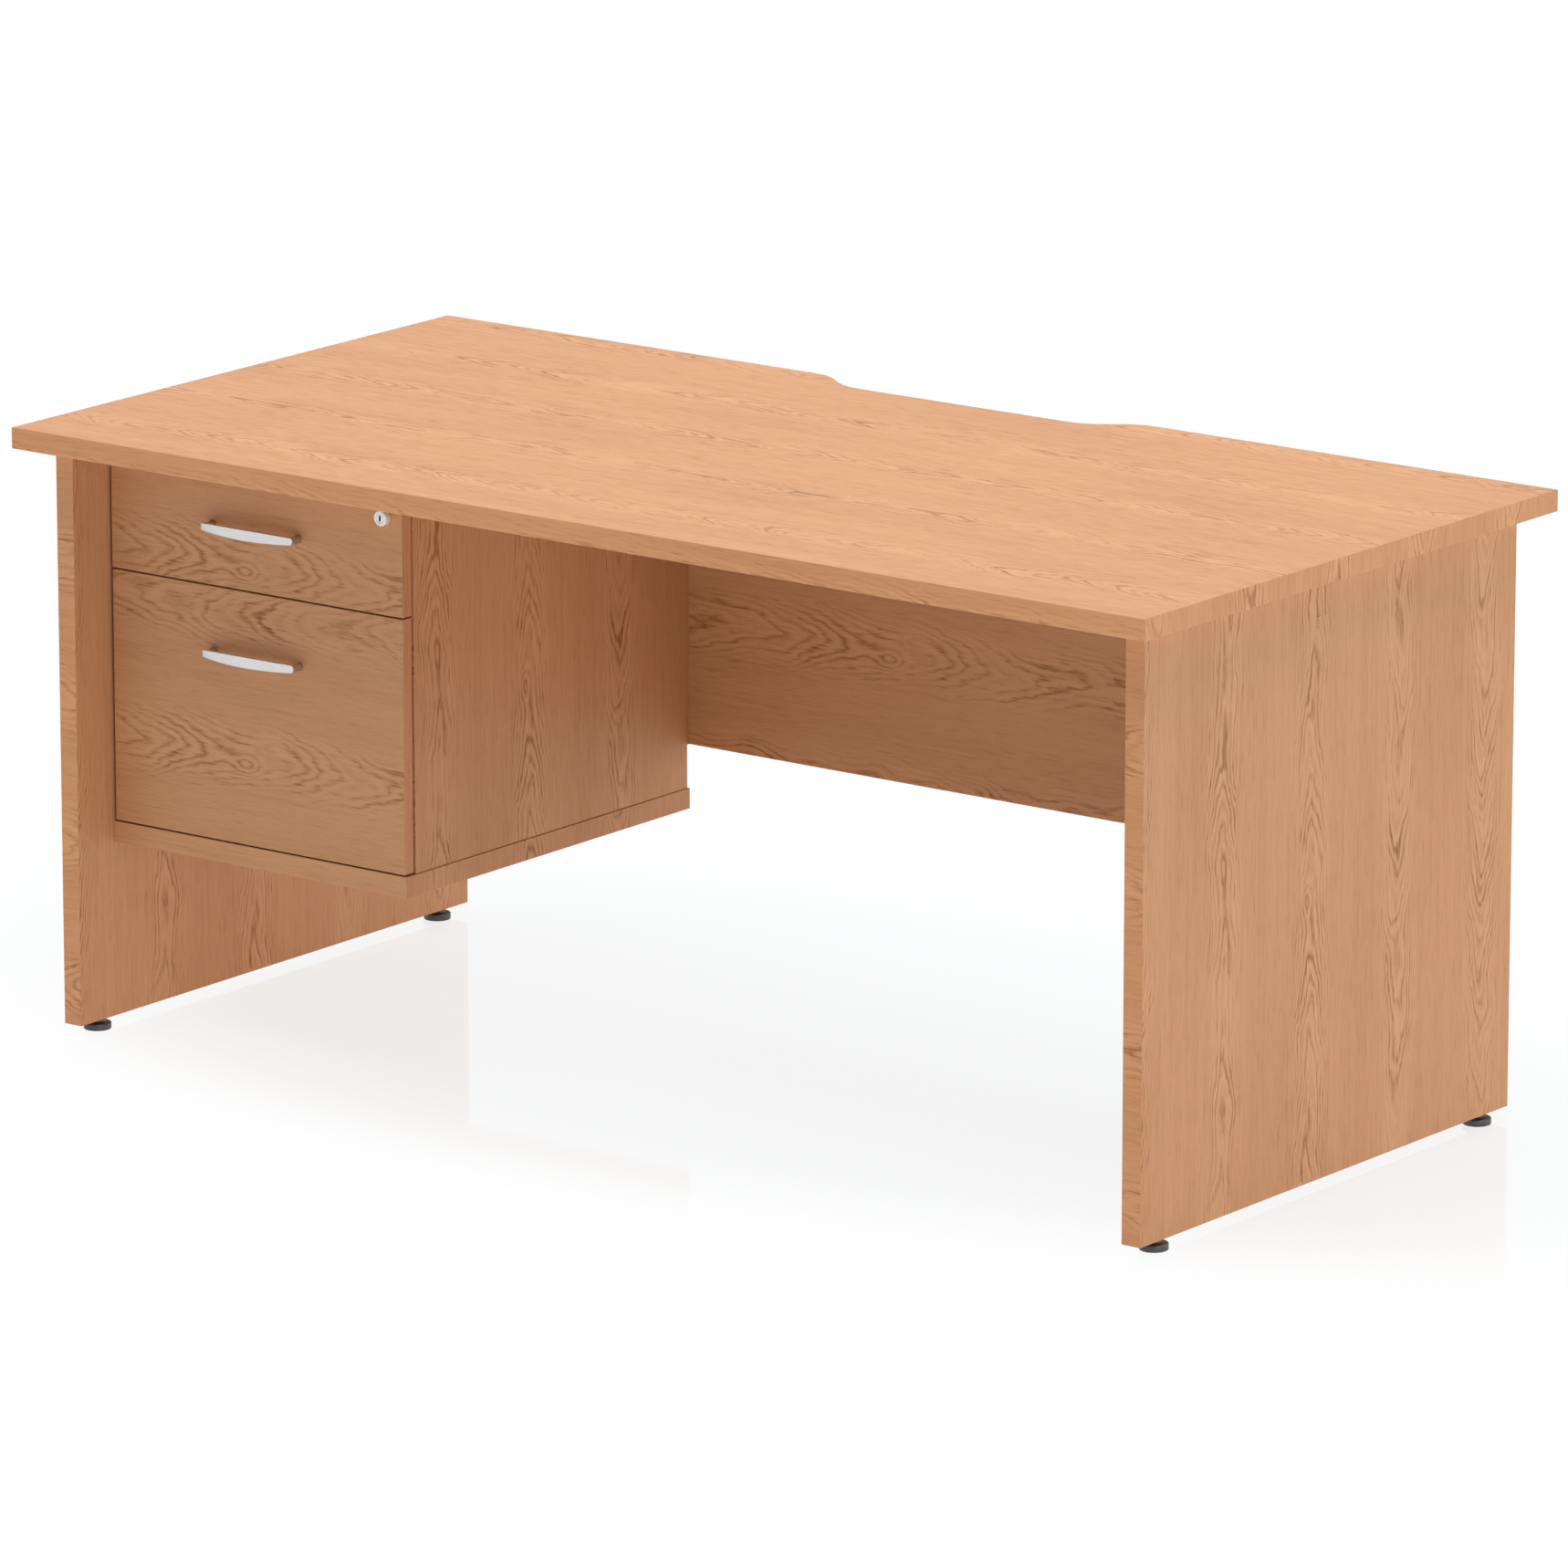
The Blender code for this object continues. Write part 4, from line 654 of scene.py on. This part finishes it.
def lockPieces():
    look = camLock
    lowBarrel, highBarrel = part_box("lock_barrel")
    lowPlug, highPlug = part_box("lock_plug")
    axis = Vector(((lowBarrel.x + highBarrel.x) / 2, drawerFace, (lowBarrel.z + highBarrel.z) / 2))
    rear, tailEnd = axis.y - highBarrel.y, axis.y - highPlug.y
    radius, bore, face, seat, ease = [look[size] for size in ("radius", "bore", "face", "seat", "ease")]
    grooveIn, grooveOut = [look["groove"] + side * look["grooveWidth"] for side in (-0.5, 0.5)]
    grooveFloor = face - look["grooveDepth"]
    bm = bmesh.new()
    profile = [(bore, face - ease), (bore + ease, face), (grooveIn, face), (grooveIn, grooveFloor),
               (grooveOut, grooveFloor), (grooveOut, face)]
    for step in range(7):  # a quarter round in steps of 15 degrees
        angle = math.radians(90 - 15 * step)
        profile.append((radius - look["chamfer"] * (1 - math.cos(angle)),
                        face - look["chamfer"] * (1 - math.sin(angle))))
    profile += [(radius, seat + ease), (radius - ease, seat), (look["shank"], seat),
                (look["shank"], rear), (bore, rear)]
    turnPart(bm, profile, axis, look["steps"], towardsFront=True, closed=True)
    addPiece("lockBarrel", meshFrom(bm, "lockBarrel"), (finish["nickelPlate"],), "upper_drawer",
             "nickel_plate", "lock_barrel")

    bm = bmesh.new()
    radius, rim, face = look["plugRadius"], look["plugChamfer"], face - look["plugSunk"]
    profile = [(0.0, face), (radius - rim, face), (radius, face - rim), (radius, rear), (0.0, rear)]
    turnPart(bm, profile, axis, look["steps"], towardsFront=True)
    plug = bpy.data.objects.new("lockPlugBlank", meshFrom(bm, "lockPlugBlank"))
    bm = bmesh.new()
    width, height = look["keyway"]
    slotFront, slotBack = face + look["keyOver"], face - look["keyDepth"]
    shape = Matrix.Translation(axis - Vector((0.0, (slotFront + slotBack) / 2, 0.0)))
    shape = shape @ Matrix.Diagonal((width, slotFront - slotBack, height, 1.0))
    bmesh.ops.create_cube(bm, size=1.0, matrix=shape)
    inwards = [edge for edge in bm.edges if abs(edge.verts[0].co.y - edge.verts[1].co.y) > width]
    bmesh.ops.bevel(bm, geom=inwards, offset=width * look["keyRound"], segments=3, affect="EDGES")
    cutter = bpy.data.objects.new("keywayCutter", meshFrom(bm, "keywayCutter"))
    for helper in (plug, cutter):
        scene.collection.objects.link(helper)
    cut = plug.modifiers.new("keyway", "BOOLEAN")
    cut.operation = "DIFFERENCE"
    cut.solver = "EXACT"
    cut.object = cutter
    bpy.context.view_layer.update()
    cutMesh = bpy.data.meshes.new_from_object(plug.evaluated_get(bpy.context.evaluated_depsgraph_get()))
    for helper in (plug, cutter):
        bpy.data.objects.remove(helper)
    bm = bmesh.new()
    bm.from_mesh(cutMesh)
    tailShape = Matrix.Translation(axis - Vector((0.0, (rear + tailEnd) / 2, 0.0)))
    tailSize = (look["tail"], rear - tailEnd + look["tailSunk"], look["tail"], 1.0)
    tailShape = tailShape @ Matrix.Diagonal(tailSize)
    made = bmesh.ops.create_cube(bm, size=1.0, matrix=tailShape)
    tailEdges = list({edge for vertex in made["verts"] for edge in vertex.link_edges})
    bmesh.ops.bevel(bm, geom=tailEdges, offset=ease, segments=2, affect="EDGES")
    skin = 0.0001
    for part in bm.faces:  # the keyway's walls take the dark grey: painted shade in the slot
        off = part.calc_center_median() - axis
        inside = abs(off.x) < width / 2 + skin and abs(off.z) < height / 2 + skin
        if inside and slotBack - skin < -off.y < face - 2 * skin:
            part.material_index = 1
    addPiece("lockPlug", meshFrom(bm, "lockPlug"), (finish["nickelPlate"], finish["waferZincAndShade"]), "lock",
             "nickel_plate", "lock_plug")


lockPieces()
print("lock made")


def settle(carrier, name, body):  # the nodes' result as a plain mesh that rides on one body
    bpy.context.view_layer.update()
    mesh = bpy.data.meshes.new_from_object(carrier.evaluated_get(bpy.context.evaluated_depsgraph_get()))
    bpy.data.objects.remove(carrier)
    piece = bpy.data.objects.new(name, mesh)
    scene.collection.objects.link(piece)
    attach(piece, body)


def startTree(name, sizes):  # sizes: socket name and kind, with a geometry in and out
    tree = bpy.data.node_groups.new(name, "GeometryNodeTree")
    tree.interface.new_socket("Geometry", in_out="OUTPUT", socket_type="NodeSocketGeometry")
    tree.interface.new_socket("Geometry", in_out="INPUT", socket_type="NodeSocketGeometry")
    for size, kind in sizes.items():
        tree.interface.new_socket(size, in_out="INPUT", socket_type=kind)
    return tree, addNode(tree, "NodeGroupInput", {})


def growOn(carrier, tree, values):
    grow = carrier.modifiers.new("grow", "NODES")
    grow.node_group = tree
    for item in tree.interface.items_tree:
        if item.in_out == "INPUT" and item.name in values:
            grow[item.identifier] = values[item.name]


# runner balls: two rows of hardened balls held by each cage
ballRow = {"balls": 14, "pitch": 0.0138, "diameter": 0.0026, "outerRows": 0.0396, "innerRows": 0.0312,
           "outerAcross": 0.0062, "innerAcross": 0.0076, "wallGap": 0.0003, "segments": 10, "rings": 6}
ballTree, ballIn = startTree("ballRows", {
    "Balls": "NodeSocketInt", "Pitch": "NodeSocketFloat", "Diameter": "NodeSocketFloat",
    "Rows apart": "NodeSocketFloat", "Middle": "NodeSocketVector", "Material": "NodeSocketMaterial"})
ballStep = addNode(ballTree, "ShaderNodeCombineXYZ", {1: ballIn.outputs["Pitch"]})
ballReach = addNode(ballTree, mathNode, {0: ballIn.outputs["Balls"], 1: 1.0}, operation="SUBTRACT")
ballHalf = addNode(ballTree, mathNode, {0: ballReach, 1: -0.5}, operation="MULTIPLY")
ballFirst = addNode(ballTree, mathNode, {0: ballHalf, 1: ballIn.outputs["Pitch"]}, operation="MULTIPLY")
ballRadius = addNode(ballTree, mathNode, {0: ballIn.outputs["Diameter"], 1: 0.5}, operation="MULTIPLY")
ballShape = addNode(ballTree, "GeometryNodeMeshUVSphere", {
    "Segments": ballRow["segments"], "Rings": ballRow["rings"], "Radius": ballRadius})
ballSmooth = addNode(ballTree, "GeometryNodeSetShadeSmooth", {"Geometry": ballShape})
ballJoin = addNode(ballTree, "GeometryNodeJoinGeometry", {})
for side in (-0.5, 0.5):
    ballRise = addNode(ballTree, mathNode, {0: ballIn.outputs["Rows apart"], 1: side},
                       operation="MULTIPLY")
    ballOffset = addNode(ballTree, "ShaderNodeCombineXYZ", {1: ballFirst, 2: ballRise})
    ballStart = addNode(ballTree, vectorNode, {0: ballIn.outputs["Middle"], 1: ballOffset},
                        operation="ADD")
    ballLine = addNode(ballTree, "GeometryNodeMeshLine", {
        "Count": ballIn.outputs["Balls"], "Start Location": ballStart, "Offset": ballStep})
    ballsSet = addNode(ballTree, "GeometryNodeInstanceOnPoints", {
        "Points": ballLine, "Instance": ballSmooth})
    ballTree.links.new(ballsSet.outputs[0], ballJoin.inputs[0])
ballReal = addNode(ballTree, "GeometryNodeRealizeInstances", {"Geometry": ballJoin})
ballDone = addNode(ballTree, "GeometryNodeSetMaterial", {"Geometry": ballReal,
                                                         "Material": ballIn.outputs["Material"]})
addNode(ballTree, "NodeGroupOutput", {0: ballDone})

for drawer in ("upper", "lower"):
    for side, towards in (("left", 1), ("right", -1)):
        outerLow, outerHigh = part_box(drawer + "_drawer_" + side + "_runner_outer")
        wall = outerLow.x - ballRow["wallGap"] if side == "left" else outerHigh.x + ballRow["wallGap"]
        for cage in ("outer", "inner"):
            cageNode = drawer + "_drawer_" + side + "_runner_" + cage + "_cage"
            low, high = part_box(cageNode)
            across = wall + towards * ballRow[cage + "Across"]
            carrier = bpy.data.objects.new("ballCarrier", bpy.data.meshes.new("ballCarrier"))
            scene.collection.objects.link(carrier)
            growOn(carrier, ballTree, {
                "Balls": ballRow["balls"], "Pitch": ballRow["pitch"], "Diameter": ballRow["diameter"],
                "Rows apart": ballRow[cage + "Rows"], "Material": finish["zincSteel"],
                "Middle": (across, (low.y + high.y) / 2, (low.z + high.z) / 2)})
            settle(carrier, drawer + side.title() + cage.title() + "Balls",
                   drawer + "_" + side + "_runner_" + cage + "_cage")
print("runner balls made")

# repeated fixings: pan-head screws and cover caps, set on points along a given facing
fixing = {"panRadius": 0.0038, "panHeight": 0.0021, "recess": 0.0022, "recessWidth": 0.0009,
          "shoulder": 0.55, "crown": 0.84, "recessTaper": 0.8, "recessFloor": 0.35,  # shares of the head
          "capRadius": 0.0085, "capHeight": 0.0011, "capSteps": 32,
          "capProfile": [(0.0, 0.0), (1.0, 0.0), (1.0, 0.35), (0.95, 0.8), (0.86, 1.0), (0.4, 0.94),
                         (0.0, 0.9)],  # shares of the cap's radius and height
          "runnerWeb": 0.0012, "runnerScrews": (0.035, 0.22, 0.40), "capInset": 0.034,
          "modestyCaps": (0.345, 0.50, 0.655), "panelCaps": (-0.27, -0.03, 0.31)}


def panHead():  # domed head with a cross recess, a low-face shape because it repeats
    bm = bmesh.new()
    radius, height = fixing["panRadius"], fixing["panHeight"]
    arm, half = fixing["recess"], fixing["recessWidth"] / 2
    cross = [(arm, -half), (arm, half), (half, half), (half, arm), (-half, arm), (-half, half),
             (-arm, half), (-arm, -half), (-half, -half), (-half, -arm), (half, -arm), (half, -half)]
    rim = [(radius * math.cos(math.radians(30 * i - 11)), radius * math.sin(math.radians(30 * i - 11)))
           for i in range(12)]
    layers = ((rim, 1.0, 0.0), (rim, 1.0, fixing["shoulder"]), (rim, fixing["crown"], 1.0),
              (cross, 1.0, 1.0), (cross, fixing["recessTaper"], fixing["recessFloor"]))
    bridgeLoops(bm, [[bm.verts.new((share * x, share * y, rise * height)) for x, y in outline]
                     for outline, share, rise in layers])
    return meshFrom(bm, "panHead", 40)


def coverCap():  # thin plastic cap with a rolled edge over a cam fitting
    bm = bmesh.new()
    radius, height = fixing["capRadius"], fixing["capHeight"]
    profile = [(radius * out, height * up) for out, up in fixing["capProfile"]]
    turnPart(bm, profile, (0.0, 0.0, 0.0), fixing["capSteps"])
    return meshFrom(bm, "coverCap", 40)


fixTree, fixIn = startTree("fixingsOnPoints", {
    "Fixing": "NodeSocketObject", "Facing": "NodeSocketVector", "Material": "NodeSocketMaterial"})
fixShape = addNode(fixTree, "GeometryNodeObjectInfo", {"Object": fixIn.outputs["Fixing"]})
fixTurn = addNode(fixTree, "FunctionNodeAlignRotationToVector", {"Vector": fixIn.outputs["Facing"]},
                  axis="Z")
fixSet = addNode(fixTree, "GeometryNodeInstanceOnPoints", {
    "Points": fixIn.outputs["Geometry"], "Instance": fixShape.outputs["Geometry"], "Rotation": fixTurn})
fixReal = addNode(fixTree, "GeometryNodeRealizeInstances", {"Geometry": fixSet})
fixDone = addNode(fixTree, "GeometryNodeSetMaterial", {"Geometry": fixReal,
                                                       "Material": fixIn.outputs["Material"]})
addNode(fixTree, "NodeGroupOutput", {0: fixDone})
fixShapes = {}
for shapeName, shapeMesh in (("panHead", panHead()), ("coverCap", coverCap())):
    fixShapes[shapeName] = bpy.data.objects.new(shapeName, shapeMesh)
    scene.collection.objects.link(fixShapes[shapeName])


def setFixings(name, shape, points, facing, material, body):
    mesh = bpy.data.meshes.new(name + "Points")
    mesh.from_pydata([Vector(point) for point in points], [], [])
    carrier = bpy.data.objects.new(name + "Points", mesh)
    scene.collection.objects.link(carrier)
    growOn(carrier, fixTree, {"Fixing": fixShapes[shape], "Facing": facing,
                              "Material": finish[material]})
    settle(carrier, name, body)


for drawer in ("upper", "lower"):
    handleLow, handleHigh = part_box(drawer + "_drawer_handle")
    frontLow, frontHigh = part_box(drawer + "_drawer_front")
    handleZ = (handleLow.z + handleHigh.z) / 2
    posts = [bowHandle["middle"] + side * bowHandle["postSpacing"] for side in (-0.5, 0.5)]
    setFixings(drawer + "HandleScrews", "panHead", [(x, frontHigh.y, handleZ) for x in posts],
               (0.0, 1.0, 0.0), "zincSteel", drawer + "_drawer")
    for side, facing in (("left", -1.0), ("right", 1.0)):
        innerLow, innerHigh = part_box(drawer + "_drawer_" + side + "_runner_inner")
        web = innerHigh.x - fixing["runnerWeb"] if side == "left" else innerLow.x + fixing["runnerWeb"]
        middle = (innerLow.z + innerHigh.z) / 2
        setFixings(drawer + side.title() + "RunnerScrews", "panHead",
                   [(web, innerLow.y + reach, middle) for reach in fixing["runnerScrews"]],
                   (facing, 0.0, 0.0), "zincSteel", drawer + "_drawer")

panelLow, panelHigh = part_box("right_end_panel")
capX, capZ = modestyHigh.x - fixing["capInset"], panelHigh.z - fixing["capInset"]
setFixings("modestyCoverCaps", "coverCap",
           [(side * capX, modestyHigh.y, z) for side in (-1, 1) for z in fixing["modestyCaps"]],
           (0.0, 1.0, 0.0), "capPlastic", "desk")
setFixings("endPanelCoverCaps", "coverCap", [(panelLow.x, y, capZ) for y in fixing["panelCaps"]],
           (-1.0, 0.0, 0.0), "capPlastic", "desk")
for shape in fixShapes.values():
    bpy.data.objects.remove(shape)
print("fixings made")
